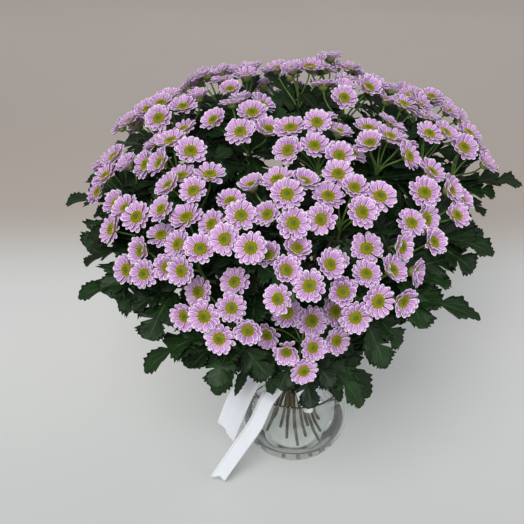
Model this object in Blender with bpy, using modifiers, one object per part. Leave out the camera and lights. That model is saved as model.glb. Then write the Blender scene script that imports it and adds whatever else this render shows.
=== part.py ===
"""A hand-tied bouquet of spray chrysanthemums in a round glass bowl of water.

The origin is the centre of the bowl's foot on the surface it stands on, +Z is up, and -Y is the
bouquet's front. Lengths are in metres. Each stem is one piece with its side shoots, each clump of
flower heads is one piece with its stalks, and the ribbon that ties the stems is five pieces.
"""

import math

import bmesh
import bpy
import numpy as np
from mathutils import Matrix, Vector

# Bowl
BOWL_RADIUS = 0.078
BOWL_MIDDLE = 0.070
FOOT_RADIUS = 0.034
SHOULDER_ANGLE = math.radians(32)
LIP_RADIUS = 0.071
LIP_HEIGHT = 0.138
NECK_LEAVES = 0.011
LIP_FLARE = (0.008, 0.007)
WALL = 0.003
FLOOR = 0.008
WATER_LEVEL = 0.050
TURN_STEPS = 24

# Gap that touching pieces keep
GAP = 0.0004
WELD = 0.00001

# Dome that the flower heads stand on: flatter above its widest ring than below it
DOME_MIDDLE = np.array([-0.010, 0.0, 0.450])
DOME_RADIUS = 0.226
DOME_RISE = 0.108
DOME_DROP = 0.160

# Flower heads
HEAD_RADIUS = 0.0128
HEAD_HEIGHT = 0.013
HEAD_RIM = 0.009
HEAD_TOP = 0.008
HEAD_SIDES = 6
HEAD_SPACING = 0.0264
CLUMP_STEP = 0.0142
CLUMP_BULGE = 0.080
STALK_RADIUS = 0.0011
FORK_DEPTH = 0.066
FORK_LENGTH = 0.024
FORK_RADIUS = 0.0022
CUP_BELOW = 0.55
FIRST_STALK = 0.94
STALK_RUN = 0.8
GOLDEN_ANGLE = math.radians(137.508)

# Stems
TIE_HEIGHT = 0.148
STEM_RADIUS = 0.0022
STEM_SPACING = 0.0052
TIE_SPREAD = 0.010
FAN_BELOW = 4.0
FAN_TWIST = math.radians(65)
FOOT_LIFT = 0.013
MAIN_LEAD = np.array([0.42, 0.42, 0.62])
SHOOT_LEAD = np.array([0.45, 0.45, 0.62])

# Ribbon
RIBBON_THICKNESS = 0.0014
BAND_RADIUS = 0.0198
BAND_WIDTH = 0.014
KNOT = (-0.0125, -0.0255, 0.148)
KNOT_RADIUS = 0.0085
KNOT_TURN = math.radians(-28)

# The loop's and the tails' middle lines, with half their width as a vector at each point
LOOP = ((0.0005, -0.0335, 0.1475), (0.0065, -0.0385, 0.140), (0.0155, -0.0435, 0.126),
        (0.0245, -0.0465, 0.1135), (0.0275, -0.0405, 0.115), (0.0205, -0.0345, 0.130),
        (0.0085, -0.0315, 0.1465))
LOOP_ACROSS = ((0.003, 0.001, 0.002), (0.007, 0.001, 0.005), (0.0105, 0.0015, 0.008),
               (0.0118, 0.002, 0.010), (0.0115, 0.002, 0.010), (0.009, 0.001, 0.007),
               (0.004, 0.001, 0.003))
TAIL_LEFT = ((-0.0240, -0.0255, 0.152), (-0.036, -0.027, 0.166), (-0.053, -0.031, 0.165),
             (-0.073, -0.044, 0.138), (-0.087, -0.055, 0.105), (-0.099, -0.062, 0.070))
TAIL_LEFT_ACROSS = ((0.001, -0.004, 0.002), (0.006, -0.008, 0.002), (0.011, -0.008, -0.001),
                    (0.0145, -0.005, -0.003), (0.0145, -0.005, -0.003),
                    (0.0135, -0.006, -0.002))
TAIL_FRONT = ((-0.0178, -0.0362, 0.147), (-0.027, -0.050, 0.150), (-0.040, -0.069, 0.148),
              (-0.0545, -0.083, 0.119), (-0.080, -0.087, 0.070), (-0.110, -0.087, 0.0085))
TAIL_FRONT_ACROSS = ((0.003, -0.002, -0.001), (0.006, -0.004, -0.004),
                     (0.0075, -0.0045, -0.0055), (0.0085, -0.0035, -0.005),
                     (0.009, -0.003, -0.0045), (0.009, -0.003, -0.0045))

# Each stem bears clumps of heads, given as (direction round the bouquet, height angle on the
# dome, number of heads), in degrees. Direction 0 is +X and -90 is the front.
STEMS = (
    ((-163, 22, 5), (-151, 46, 6)),
    ((-145, 13, 4), (-132, 2, 5), (-131, 38, 5)),
    ((174, 52, 6), (139, 65, 5)),
    ((-140, 71, 7), (-76, 66, 8), (82, 70, 5)),
    ((-120, 19, 4), (-109, 29, 5)),
    ((-97, 43, 6), (-76, 42, 6)),
    ((19, 72, 6), (0, 57, 3)),
    ((-39, 57, 6), (-12, 47, 4)),
    ((-6, 28, 5), (-44, 30, 6)),
    ((-60, 20, 3), (-71, 3, 9)),
    ((-91, 13, 6),),
    ((-112, -12, 7), (-87, -29, 8)),
    ((28, 31, 8), (50, 12, 8)),
    ((72, 46, 7), (96, 12, 9)),
    ((122, 32, 8), (150, 14, 8)),
)

LEAF_THICKNESS = 0.0009
LEAF_HALF_WIDTH = 0.021
LEAF_STALK_HALF = 0.0012
LEAF_STALK = 0.3
LEAF_ARCH = 0.16

# Outer leaves: (clump they grow below, direction, rise in degrees, length)
LEAVES = (
    (18, -2, 4, 0.086),
    (19, -28, 2, 0.078),
    (21, -16, 2, 0.122),
    (0, 178, 6, 0.078),
    (3, -166, 0, 0.100),
    (23, -158, -18, 0.100),
    (24, -38, -30, 0.090),
)


def collection(name):
    group = bpy.data.collections.new(name)
    bpy.context.scene.collection.children.link(group)
    return group


def material(name, colour, roughness, alpha=1.0):
    mat = bpy.data.materials.new(name)
    mat.use_nodes = True
    shader = mat.node_tree.nodes["Principled BSDF"]
    shader.inputs["Base Color"].default_value = (*colour, 1.0)
    shader.inputs["Roughness"].default_value = roughness
    shader.inputs["Metallic"].default_value = 0.0
    shader.inputs["Alpha"].default_value = alpha
    return mat


def add_object(name, mesh, group, mat=None):
    obj = bpy.data.objects.new(name, mesh)
    group.objects.link(obj)
    if mat:
        mesh.materials.clear()
        mesh.materials.append(mat)
    return obj


def evaluated_mesh(obj, name):
    """The object's mesh after its modifiers, welded, in world space."""
    graph = bpy.context.evaluated_depsgraph_get()
    mesh = bpy.data.meshes.new_from_object(obj.evaluated_get(graph))
    mesh.transform(obj.matrix_world)
    mesh.name = name
    bm = bmesh.new()
    bm.from_mesh(mesh)
    bmesh.ops.remove_doubles(bm, verts=bm.verts, dist=WELD)
    bm.to_mesh(mesh)
    bm.free()
    return mesh


def smooth(obj, angle=math.radians(40)):
    obj.data.shade_smooth()
    obj.data.set_sharp_from_angle(angle=angle)


def combine(name, objects, group, mat, operation="UNION"):
    """One mesh object from the first object and the others, by exact Booleans."""
    first = objects[0]
    for other in objects[1:]:
        mod = first.modifiers.new("join", "BOOLEAN")
        mod.operation = operation
        mod.solver = "EXACT"
        mod.object = other
    mesh = evaluated_mesh(first, name)
    for obj in objects:
        bpy.data.objects.remove(obj)
    obj = add_object(name, mesh, group, mat)
    smooth(obj)
    return obj


def tube(name, points, radii, group, resolution=0):
    """A mesh tube along a list of points, with its caps welded on."""
    curve = bpy.data.curves.new(name, "CURVE")
    curve.dimensions = "3D"
    curve.bevel_depth = 1.0
    curve.bevel_resolution = resolution
    curve.use_fill_caps = True
    spline = curve.splines.new("POLY")
    spline.points.add(len(points) - 1)
    for knot, point, radius in zip(spline.points, points, radii):
        knot.co = (*point, 1.0)
        knot.radius = radius
    wire = bpy.data.objects.new(name, curve)
    group.objects.link(wire)
    mesh = evaluated_mesh(wire, name)
    bpy.data.objects.remove(wire)
    return add_object(name, mesh, group)


def turned(name, profile, group, mat):
    """A solid turned from a profile of (radius, height) points, which runs from the axis to it."""
    bm = bmesh.new()
    knots = [bm.verts.new((radius, 0.0, height)) for radius, height in profile]
    for a, b in zip(knots, knots[1:]):
        bm.edges.new((a, b))
    mesh = bpy.data.meshes.new(name)
    bm.to_mesh(mesh)
    bm.free()
    obj = add_object(name, mesh, group, mat)
    screw = obj.modifiers.new("turn", "SCREW")
    screw.axis = "Z"
    screw.angle = math.tau
    screw.steps = TURN_STEPS
    screw.render_steps = TURN_STEPS
    screw.use_merge_vertices = True
    screw.merge_threshold = WELD
    screw.use_normal_calculate = True
    return obj


def arc(radius, start, end, steps):
    """Points of a circle round the bowl's middle, from one height angle to another."""
    angles = np.linspace(start, end, steps)
    return [(radius * math.cos(a), BOWL_MIDDLE + radius * math.sin(a)) for a in angles]


def neck(inset, steps):
    """The bowl's flared neck: a cubic curve from the shoulder to the lip, inset for the inside."""
    radius = BOWL_RADIUS - inset
    start = np.array(arc(radius, SHOULDER_ANGLE, SHOULDER_ANGLE, 1)[0])
    end = np.array([LIP_RADIUS - inset, LIP_HEIGHT])
    leave = np.array([-math.sin(SHOULDER_ANGLE), math.cos(SHOULDER_ANGLE)]) * NECK_LEAVES
    arrive = np.array(LIP_FLARE)
    points = []
    for t in np.linspace(0, 1, steps)[1:]:
        points.append(tuple((1 - t) ** 3 * start + 3 * t * (1 - t) ** 2 * (start + leave)
                            + 3 * t * t * (1 - t) * (end - arrive) + t ** 3 * end))
    return points


def bowl_outside():
    foot = -math.acos(FOOT_RADIUS / BOWL_RADIUS)
    height = BOWL_MIDDLE + BOWL_RADIUS * math.sin(foot)
    rise = [(FOOT_RADIUS, 0.0)] + [(r, z) for r, z in arc(BOWL_RADIUS, foot, SHOULDER_ANGLE, 10)
                                   if z > height + 0.0001]
    return rise + neck(0.0, 5)


def bowl_inside(inset, lowest):
    """The bowl's inner wall from the axis outwards and up, a given distance inside its outer face."""
    radius = BOWL_RADIUS - inset
    start = math.asin((lowest - BOWL_MIDDLE) / radius)
    return [(0.0, lowest)] + arc(radius, start, SHOULDER_ANGLE, 9)


def build_bowl(parts):
    glass = material("clear glass", (0.86, 0.92, 0.90), 0.03, 0.35)
    outside = bowl_outside()
    inside = bowl_inside(WALL, FLOOR) + neck(WALL, 5)
    profile = [(0.0, 0.0)] + outside + inside[::-1]
    smooth(turned("glass_bowl", profile, parts, glass), math.radians(50))


def build_water(parts, stems):
    """Water that fills the bowl to its level, with a channel for each stem that stands in it."""
    water = material("water", (0.90, 0.95, 0.95), 0.02, 0.35)
    radius = BOWL_RADIUS - WALL - GAP
    top = math.asin((WATER_LEVEL - BOWL_MIDDLE) / radius)
    start = math.asin((FLOOR + GAP - BOWL_MIDDLE) / radius)
    profile = [(0.0, FLOOR + GAP)] + arc(radius, start, top, 8) + [(0.0, WATER_LEVEL)]
    body = turned("water_body", profile, parts, water)
    channels = []
    for index, path in enumerate(stems):
        below = [point for point in path if point[2] < WATER_LEVEL + 0.03]
        first = below[0] + (below[0] - below[1]) / np.linalg.norm(below[0] - below[1]) * GAP
        line = [first] + below[1:]
        radii = [STEM_RADIUS + 1.5 * GAP] * len(line)
        channels.append(tube(f"channel_{index:02d}", line, radii, parts, 1))
    combine("water", [body] + channels, parts, water, "DIFFERENCE")


def dome_point(azimuth, rise):
    """The point of the dome at a direction and a height angle, in degrees."""
    around, up = math.radians(azimuth), math.radians(rise)
    height = DOME_RISE if rise >= 0 else DOME_DROP
    flat = DOME_RADIUS * math.cos(up)
    return DOME_MIDDLE + np.array([flat * math.cos(around), flat * math.sin(around),
                                   height * math.sin(up)])


def facing(azimuth, rise):
    """The way a clump faces: 38 degrees above level at the ring, straight up at the crown."""
    lift = math.radians(38 + 52 * (max(rise, 0) / 90) ** 0.9 + 0.3 * min(rise, 0))
    around = math.radians(azimuth)
    return np.array([math.cos(lift) * math.cos(around), math.cos(lift) * math.sin(around),
                     math.sin(lift)])


def spread(points, gap, rounds=200):
    """Points pushed apart, a little each round, until none is nearer to another than the gap."""
    points = points.copy()
    for _ in range(rounds):
        between = points[:, None] - points[None, :]
        distance = np.linalg.norm(between, axis=2) + np.eye(len(points))
        push = np.clip(gap * 1.01 - distance, 0, None) * (1 - np.eye(len(points)))
        points += (between / distance[:, :, None] * push[:, :, None]).sum(axis=1) * 0.3
    return points


def lay_out_heads():
    """Every head's centre and the clump it is in, by the golden-angle rule in each clump."""
    clumps = [clump for stem in STEMS for clump in stem]
    centres, owners = [], []
    for index, (azimuth, rise, count) in enumerate(clumps):
        centre, normal = dome_point(azimuth, rise), facing(azimuth, rise)
        side = np.cross((0, 0, 1), normal)
        side /= np.linalg.norm(side)
        upward = np.cross(normal, side)
        for k in range(count):
            out = CLUMP_STEP * math.sqrt(k + 0.5)
            turn = k * GOLDEN_ANGLE + index
            lean = 0.004 * math.sin(2.3 * k + 1.7 * index)
            centres.append(centre + out * (math.cos(turn) * side + math.sin(turn) * upward)
                           + (lean - out * out / (2 * CLUMP_BULGE)) * normal)
            owners.append(index)
    return clumps, spread(np.array(centres), HEAD_SPACING), np.array(owners)


def head_axes(clumps, centres, owners):
    """The way each head looks: its clump's way, leaning out from the clump's middle."""
    ways = np.array([facing(azimuth, rise) for azimuth, rise, _ in clumps])[owners]
    middles = np.array([centres[owners == index].mean(axis=0) for index in range(len(clumps))])
    axes = ways + (centres - middles[owners]) / CLUMP_BULGE
    return axes / np.linalg.norm(axes, axis=1)[:, None]


def fork_of(clump, middle):
    """The foot of the short stalk that bears a clump, and the way it points."""
    way = facing(clump[0], clump[1]) + np.array([0, 0, 0.55])
    way /= np.linalg.norm(way)
    return middle - way * FORK_DEPTH, way


def ring(bm, centre, axis, radius):
    """A ring of vertices round an axis, one corner pointing as near +X as it can."""
    axis = Vector(axis).normalized()
    side = axis.cross(Vector((0.31, 0.95, 0.05))).normalized()
    other = axis.cross(side)
    angles = [math.tau * k / HEAD_SIDES for k in range(HEAD_SIDES)]
    return [bm.verts.new(Vector(centre) + radius * (math.cos(a) * side + math.sin(a) * other))
            for a in angles]


def head_on_stalk(name, start, centre, axis, parts):
    """A flower head as a six-sided cup, lofted with the stalk that comes up from its start."""
    bm = bmesh.new()
    base = centre - axis * HEAD_HEIGHT * CUP_BELOW
    stalk = (base - start) / np.linalg.norm(base - start)
    rings = [
        ring(bm, start, stalk, STALK_RADIUS),
        ring(bm, base, stalk + axis, STALK_RADIUS * 1.6),
        ring(bm, base + axis * HEAD_RIM, axis, HEAD_RADIUS),
        ring(bm, base + axis * HEAD_HEIGHT, axis, HEAD_TOP),
    ]
    for low, high in zip(rings, rings[1:]):
        for k in range(HEAD_SIDES):
            after = (k + 1) % HEAD_SIDES
            bm.faces.new((low[k], low[after], high[after], high[k]))
    bm.faces.new(rings[0][::-1])
    bm.faces.new(rings[-1])
    mesh = bpy.data.meshes.new(name)
    bm.to_mesh(mesh)
    bm.free()
    return add_object(name, mesh, parts)


def build_blooms(parts, clumps, centres, owners, axes):
    """One piece for each clump of heads with its stalks; returns where their forks are."""
    petals = material("lilac petals", (0.69, 0.48, 0.77), 0.55)
    forks = []
    for index, clump in enumerate(clumps):
        mine = np.flatnonzero(owners == index)
        fork, way = fork_of(clump, centres[mine].mean(axis=0))
        ends = [fork, fork + way * FORK_LENGTH]
        pieces = [tube("fork", ends, [FORK_RADIUS, FORK_RADIUS], parts, 1)]
        for order, k in enumerate(mine):
            up = FORK_LENGTH * (FIRST_STALK - STALK_RUN * order / len(mine))
            pieces.append(head_on_stalk(f"head_{k}", fork + way * up, centres[k], axes[k], parts))
        combine(f"blooms_{index + 1:02d}", pieces, parts, petals)
        forks.append(fork)
    return forks


def bend(start, middle, end, steps):
    """A smooth bend: a quadratic curve from start to end, drawn towards middle."""
    t = np.linspace(0, 1, steps)[:, None]
    return (1 - t) ** 2 * start + 2 * t * (1 - t) * middle + t ** 2 * end


def shoot_end(start, fork):
    """A shoot's last point, just short of the clump's stalk."""
    way = (fork - start) / np.linalg.norm(fork - start)
    return fork - way * (FORK_RADIUS + GAP)


def stem_routes(forks):
    """Each stem's route from its cut end through the tie, and its side shoots' routes."""
    firsts = np.cumsum([0] + [len(stem) for stem in STEMS[:-1]])
    groups = [forks[first:first + len(stem)] for first, stem in zip(firsts, STEMS)]
    aims = np.array([np.mean(group, axis=0) for group in groups])
    slopes = aims[:, :2] / (aims[:, 2:] - TIE_HEIGHT)
    tied = spread(slopes * TIE_SPREAD, STEM_SPACING, 600)
    turn = np.array([[math.cos(FAN_TWIST), -math.sin(FAN_TWIST)],
                     [math.sin(FAN_TWIST), math.cos(FAN_TWIST)]])
    feet = tied @ turn.T * FAN_BELOW
    routes = []
    for flat, foot, group in zip(tied, feet, groups):
        reach = np.linalg.norm(foot)
        radius = BOWL_RADIUS - WALL
        low = max(FLOOR, BOWL_MIDDLE - math.sqrt(radius ** 2 - reach ** 2)) + FOOT_LIFT
        tie = np.array([*flat, TIE_HEIGHT])
        cut = np.array([*foot, low])
        main = sorted(group, key=lambda fork: -fork[2])[0]
        middle = tie + (main - tie) * MAIN_LEAD
        upper = bend(tie, middle, shoot_end(middle, main), 7)
        lower = [cut + (tie - cut) * t for t in (0, 0.35, 0.7)]
        path = np.array(lower + list(upper))
        shoots = []
        for fork in group:
            if fork is main:
                continue
            start = upper[2]
            lead = start + (fork - start) * SHOOT_LEAD
            shoots.append(bend(start, lead, shoot_end(lead, fork), 5))
        routes.append((path, shoots))
    return routes


def build_stems(parts, routes):
    bark = material("green stem", (0.10, 0.20, 0.06), 0.6)
    for index, (path, shoots) in enumerate(routes):
        radii = np.linspace(STEM_RADIUS, STEM_RADIUS * 0.7, len(path))
        pieces = [tube("main", path, radii, parts, 1)]
        for shoot in shoots:
            radii = np.linspace(STEM_RADIUS * 0.8, STEM_RADIUS * 0.6, len(shoot))
            pieces.append(tube("shoot", shoot, radii, parts, 0))
        combine(f"stem_{index + 1:02d}", pieces, parts, bark)


def sheet(name, rows, thickness, parts, mat):
    """A closed sheet from rows of points, each row running across it."""
    bm = bmesh.new()
    grid = [[bm.verts.new(point) for point in row] for row in rows]
    for low, high in zip(grid, grid[1:]):
        for a, b, c, d in zip(low, low[1:], high[1:], high):
            bm.faces.new((a, b, c, d))
    mesh = bpy.data.meshes.new(name)
    bm.to_mesh(mesh)
    bm.free()
    obj = add_object(name, mesh, parts, mat)
    shell = obj.modifiers.new("thickness", "SOLIDIFY")
    shell.thickness = thickness
    shell.offset = 0.0
    return obj


def build_leaf(name, fork, azimuth, lift_angle, length, parts, mat):
    """A lobed leaf on its stalk, arching out from below a clump and drooping at its tip."""
    around, lift = math.radians(azimuth), math.radians(lift_angle)
    way = np.array([math.cos(lift) * math.cos(around), math.cos(lift) * math.sin(around),
                    math.sin(lift)])
    side = np.cross(way, (0, 0, 1))
    side /= np.linalg.norm(side)
    up = np.cross(side, way)
    rows = []
    for t in np.linspace(0, 1, 13):
        blade = max(0.0, (t - LEAF_STALK) / (1 - LEAF_STALK))
        lobes = 0.72 + 0.28 * math.cos(math.tau * (2.5 * blade - 0.4))
        half = LEAF_STALK_HALF + LEAF_HALF_WIDTH * math.sin(math.pi * blade ** 0.75) ** 0.8 * lobes
        start = fork + way * (FORK_RADIUS + 0.002)
        rise = LEAF_ARCH * length * math.sin(math.pi * t * 0.9)
        spine = start + way * (length * t) + up * rise
        rows.append([spine - side * half + up * half * 0.25, spine,
                     spine + side * half + up * half * 0.25])
    return sheet(name, rows, LEAF_THICKNESS, parts, mat)


def ribbon_strip(name, middle, across, parts, mat):
    """A strip of ribbon: its middle line's points, and half its width as a vector at each."""
    rows = []
    count = 3 * (len(middle) - 1) + 1
    for t in np.linspace(0, len(middle) - 1, count):
        k = min(int(t), len(middle) - 2)
        points = [np.array(middle[min(max(i, 0), len(middle) - 1)]) for i in range(k - 1, k + 3)]
        halves = [np.array(across[min(max(i, 0), len(across) - 1)]) for i in range(k - 1, k + 3)]
        centre, half = blend(points, t - k), blend(halves, t - k)
        rows.append([centre - half, centre + half])
    return sheet(name, rows, RIBBON_THICKNESS, parts, mat)


def blend(knots, t):
    """The smooth curve through four knots, a share t of the way from the second to the third."""
    a, b, c, d = knots
    return 0.5 * (2 * b + (c - a) * t + (2 * a - 5 * b + 4 * c - d) * t * t
                  + (3 * b - a - 3 * c + d) * t ** 3)


def build_ribbon(parts):
    """The ribbon: a band round the stems, a knot, a loop in the bowl's mouth and two tails."""
    satin = material("white satin", (0.86, 0.87, 0.90), 0.35)
    bm = bmesh.new()
    bmesh.ops.create_cone(bm, cap_ends=False, segments=20, radius1=BAND_RADIUS,
                          radius2=BAND_RADIUS, depth=BAND_WIDTH)
    bmesh.ops.translate(bm, verts=bm.verts, vec=(0, 0, TIE_HEIGHT))
    mesh = bpy.data.meshes.new("ribbon_band")
    bm.to_mesh(mesh)
    bm.free()
    band = add_object("ribbon_band", mesh, parts, satin)
    shell = band.modifiers.new("thickness", "SOLIDIFY")
    shell.thickness = RIBBON_THICKNESS
    shell.offset = 0.0

    bm = bmesh.new()
    bmesh.ops.create_icosphere(bm, subdivisions=2, radius=KNOT_RADIUS)
    bmesh.ops.scale(bm, verts=bm.verts, vec=(1.1, 0.55, 0.9))
    bmesh.ops.rotate(bm, verts=bm.verts, cent=(0, 0, 0),
                     matrix=Matrix.Rotation(KNOT_TURN, 3, "Z"))
    bmesh.ops.translate(bm, verts=bm.verts, vec=KNOT)
    mesh = bpy.data.meshes.new("ribbon_knot")
    bm.to_mesh(mesh)
    bm.free()
    smooth(add_object("ribbon_knot", mesh, parts, satin))

    ribbon_strip("ribbon_loop", LOOP, LOOP_ACROSS, parts, satin)
    ribbon_strip("ribbon_tail_left", TAIL_LEFT, TAIL_LEFT_ACROSS, parts, satin)
    ribbon_strip("ribbon_tail_front", TAIL_FRONT, TAIL_FRONT_ACROSS, parts, satin)


def main():
    for obj in list(bpy.data.objects):
        bpy.data.objects.remove(obj)
    parts = collection("chrysanthemum_bouquet")
    clumps, centres, owners = lay_out_heads()
    axes = head_axes(clumps, centres, owners)
    forks = build_blooms(parts, clumps, centres, owners, axes)
    routes = stem_routes(forks)
    build_bowl(parts)
    build_water(parts, [path for path, _ in routes])
    build_stems(parts, routes)
    green = material("leaf green", (0.03, 0.09, 0.02), 0.5)
    for index, (clump, azimuth, rise, length) in enumerate(LEAVES):
        name = f"leaf_{index + 1:02d}"
        build_leaf(name, forks[clump], azimuth, rise, length, parts, green)
    build_ribbon(parts)


main()
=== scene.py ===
# %% [markdown]
# # A hand-tied bouquet of spray chrysanthemums in a glass bowl
# This lesson dresses a bouquet whose frame is already fixed: the bowl, the stems, the clumps of
# flower heads and the ribbon all have their place and size. Every surface here is worked out with
# numpy as a grid of points, because plants repeat one shape hundreds of times with small changes,
# and arrays make those changes all at once.

# %% Load the fixed frame
import math

import bpy
import numpy as np
from mathutils import Matrix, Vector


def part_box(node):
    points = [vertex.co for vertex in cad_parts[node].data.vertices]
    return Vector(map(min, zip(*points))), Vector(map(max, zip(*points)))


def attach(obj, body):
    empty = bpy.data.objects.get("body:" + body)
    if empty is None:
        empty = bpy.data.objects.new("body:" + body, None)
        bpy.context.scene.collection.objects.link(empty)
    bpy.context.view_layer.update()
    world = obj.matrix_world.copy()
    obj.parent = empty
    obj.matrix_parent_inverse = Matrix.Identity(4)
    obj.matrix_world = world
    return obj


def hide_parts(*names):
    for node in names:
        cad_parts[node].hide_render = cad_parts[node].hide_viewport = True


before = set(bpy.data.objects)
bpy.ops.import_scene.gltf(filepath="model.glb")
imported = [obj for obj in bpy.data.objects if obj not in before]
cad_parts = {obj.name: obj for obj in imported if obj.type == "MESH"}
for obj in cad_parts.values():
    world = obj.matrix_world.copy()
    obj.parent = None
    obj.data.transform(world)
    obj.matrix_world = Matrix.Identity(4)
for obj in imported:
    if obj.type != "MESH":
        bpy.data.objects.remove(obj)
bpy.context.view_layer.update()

scene = bpy.context.scene
rng = np.random.default_rng(11)
TAU = math.tau
print("frame nodes:", len(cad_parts))

# %% [markdown]
# ## Colours and nodes
# Colours are picked as they look on a screen, so they are written as sRGB hex values, while the
# shaders work in linear light. One function turns one into the other. One more function adds a
# shader node with its settings and its links, so a material reads as a short list.

# %% Colour and node helpers
def linear(text):
    """A hex sRGB colour as linear RGBA: the curve that screens apply, undone."""
    srgb = np.array([int(text[i:i + 2], 16) for i in (1, 3, 5)]) / 255
    value = np.where(srgb <= 0.04045, srgb / 12.92, ((srgb + 0.055) / 1.055) ** 2.4)
    return (*value.tolist(), 1.0)


def add_node(tree, kind, settings=None, links=None):
    """One node. Settings go to its properties or sockets; links map its sockets to outputs."""
    node = tree.nodes.new(kind)
    for key, value in (settings or {}).items():
        if isinstance(key, str) and hasattr(node, key):
            setattr(node, key, value)
        else:
            node.inputs[key].default_value = value
    for key, output in (links or {}).items():
        tree.links.new(output, node.inputs[key])
    return node


def new_material(name):
    """An empty material with its output; the caller adds the shader."""
    mat = bpy.data.materials.new(name)
    mat.use_nodes = True
    mat.node_tree.nodes.clear()
    return mat, mat.node_tree


def finish_material(tree, shader):
    """Joins the shader to the material's output."""
    add_node(tree, "ShaderNodeOutputMaterial", links={"Surface": shader.outputs[0]})


def blend_colours(tree, share, first, second):
    """A colour between two, by a share; each is a linear colour or another node's output."""
    settings, links = {"data_type": "RGBA"}, {0: share}
    for socket, colour in ((6, first), (7, second)):
        if isinstance(colour, tuple):
            settings[socket] = colour
        else:
            links[socket] = colour
    return add_node(tree, "ShaderNodeMix", settings, links).outputs[2]


def maths(tree, operation, *values):
    """One sum on numbers or outputs."""
    settings, links = {"operation": operation}, {}
    for socket, value in enumerate(values):
        if isinstance(value, (int, float)):
            settings[socket] = value
        else:
            links[socket] = value
    return add_node(tree, "ShaderNodeMath", settings, links).outputs[0]


def ramp_between(tree, value, low, high):
    """0 below low, 1 above high, and a smooth step between."""
    node = add_node(tree, "ShaderNodeMapRange",
                    {"interpolation_type": "SMOOTHSTEP", 1: low, 2: high}, {0: value})
    return node.outputs[0]


def uv_axes(tree):
    """The piece's own UV map, split: across it and along it."""
    uv = add_node(tree, "ShaderNodeUVMap", {"uv_map": "surface"})
    split = add_node(tree, "ShaderNodeSeparateXYZ", links={0: uv.outputs[0]})
    return uv.outputs[0], split.outputs[0], split.outputs[1]


def own_value(tree, name):
    """A number that is stored on the piece, such as how pale one flower is."""
    return add_node(tree, "ShaderNodeAttribute", {"attribute_name": name}).outputs["Fac"]


print("lilac in linear light:", [round(v, 3) for v in linear("#c99ad8")])

# %% [markdown]
# ## Petals: what they are made of
# A ray petal is a thin living tissue, so light goes a little way into it and comes out softly,
# and its skin is velvety and matt. This variety is lilac with a white margin, pale cream where it
# enters the head, finely streaked along its length, and paler below. The white of the margin is
# partly the petal's own and partly a painted highlight, where the raised edges catch the light.
# All of that follows the petal itself, so it is painted on the petal's own UV map: across for the
# margin, along for the base.

# %% Petal material
def petal_material():
    """Living tissue with a velvety skin. The eye sees a soft glow, white margins and faint streaks
    along each petal. The white margins are partly the petal's own colour and partly a painted
    highlight along the raised edges. It is about 6 mm wide, and the noise makes a streak every
    0.3 mm of that."""
    mat, tree = new_material("lilac petal tissue")
    uv, across, along = uv_axes(tree)
    off_middle = maths(tree, "ABSOLUTE", maths(tree, "MULTIPLY_ADD", across, 2.0, -1.0))
    stretch = add_node(tree, "ShaderNodeMapping", {"Scale": (9.0, 0.9, 1.0)}, {0: uv})
    streaks = add_node(tree, "ShaderNodeTexNoise", {"Scale": 2.2, "Detail": 3.0, "Roughness": 0.6},
                       {0: stretch.outputs[0]}).outputs[0]
    tone = own_value(tree, "tone")
    body = blend_colours(tree, tone, linear("#8d5297"), linear("#b677b4"))
    streaked = blend_colours(tree, ramp_between(tree, streaks, 0.42, 0.66), body,
                             linear("#deade0"))
    # Painted highlight: the margins are made white, partly the petal's own pale edge and partly
    # the light that the raised edges catch.
    margin = ramp_between(tree, maths(tree, "ADD", off_middle,
                                      maths(tree, "MULTIPLY", streaks, 0.30)), 0.80, 1.02)
    edged = blend_colours(tree, margin, streaked, linear("#fdf8fd"))
    tip = ramp_between(tree, along, 0.86, 0.98)
    tipped = blend_colours(tree, maths(tree, "MULTIPLY", tip, 0.75), edged, linear("#fbf4fb"))
    base = ramp_between(tree, maths(tree, "SUBTRACT", 1.0, along), 0.70, 0.95)
    based = blend_colours(tree, base, tipped, linear("#f0e6bc"))
    upper = own_value(tree, "upper")
    below = blend_colours(tree, ramp_between(tree, streaks, 0.35, 0.7), linear("#bf8cc6"),
                          linear("#e6cce8"))
    colour = blend_colours(tree, upper, below, based)
    bump = add_node(tree, "ShaderNodeBump", {"Strength": 0.35, "Distance": 0.0003},
                    {"Height": streaks})
    shader = add_node(tree, "ShaderNodeBsdfPrincipled",
                      {"Roughness": 0.55, "IOR": 1.42, "Specular IOR Level": 0.35,
                       "Subsurface Weight": 0.25, "Subsurface Radius": (1.0, 0.6, 0.9),
                       "Subsurface Scale": 0.0015, "Sheen Weight": 0.15, "Sheen Roughness": 0.4},
                      {"Base Color": colour, "Normal": bump.outputs[0]})
    finish_material(tree, shader)
    return mat


PETAL = petal_material()
print("made", PETAL.name, "with", len(PETAL.node_tree.nodes), "nodes")

# %% [markdown]
# ## Discs, stalks and leaves
# The disc is a dome of tiny florets: tight green buds in the middle, open golden ones round the
# rim. Stalks and stems are matt and slightly downy. Leaves are dark and a little waxy, with pale
# veins: a midrib, and side veins that run out to the lobes. The veins follow the leaf's UV map.

# %% Disc, stalk and leaf materials
STEM_RIBS = 6
LEAF_SIDE_VEINS = 7.5


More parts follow.
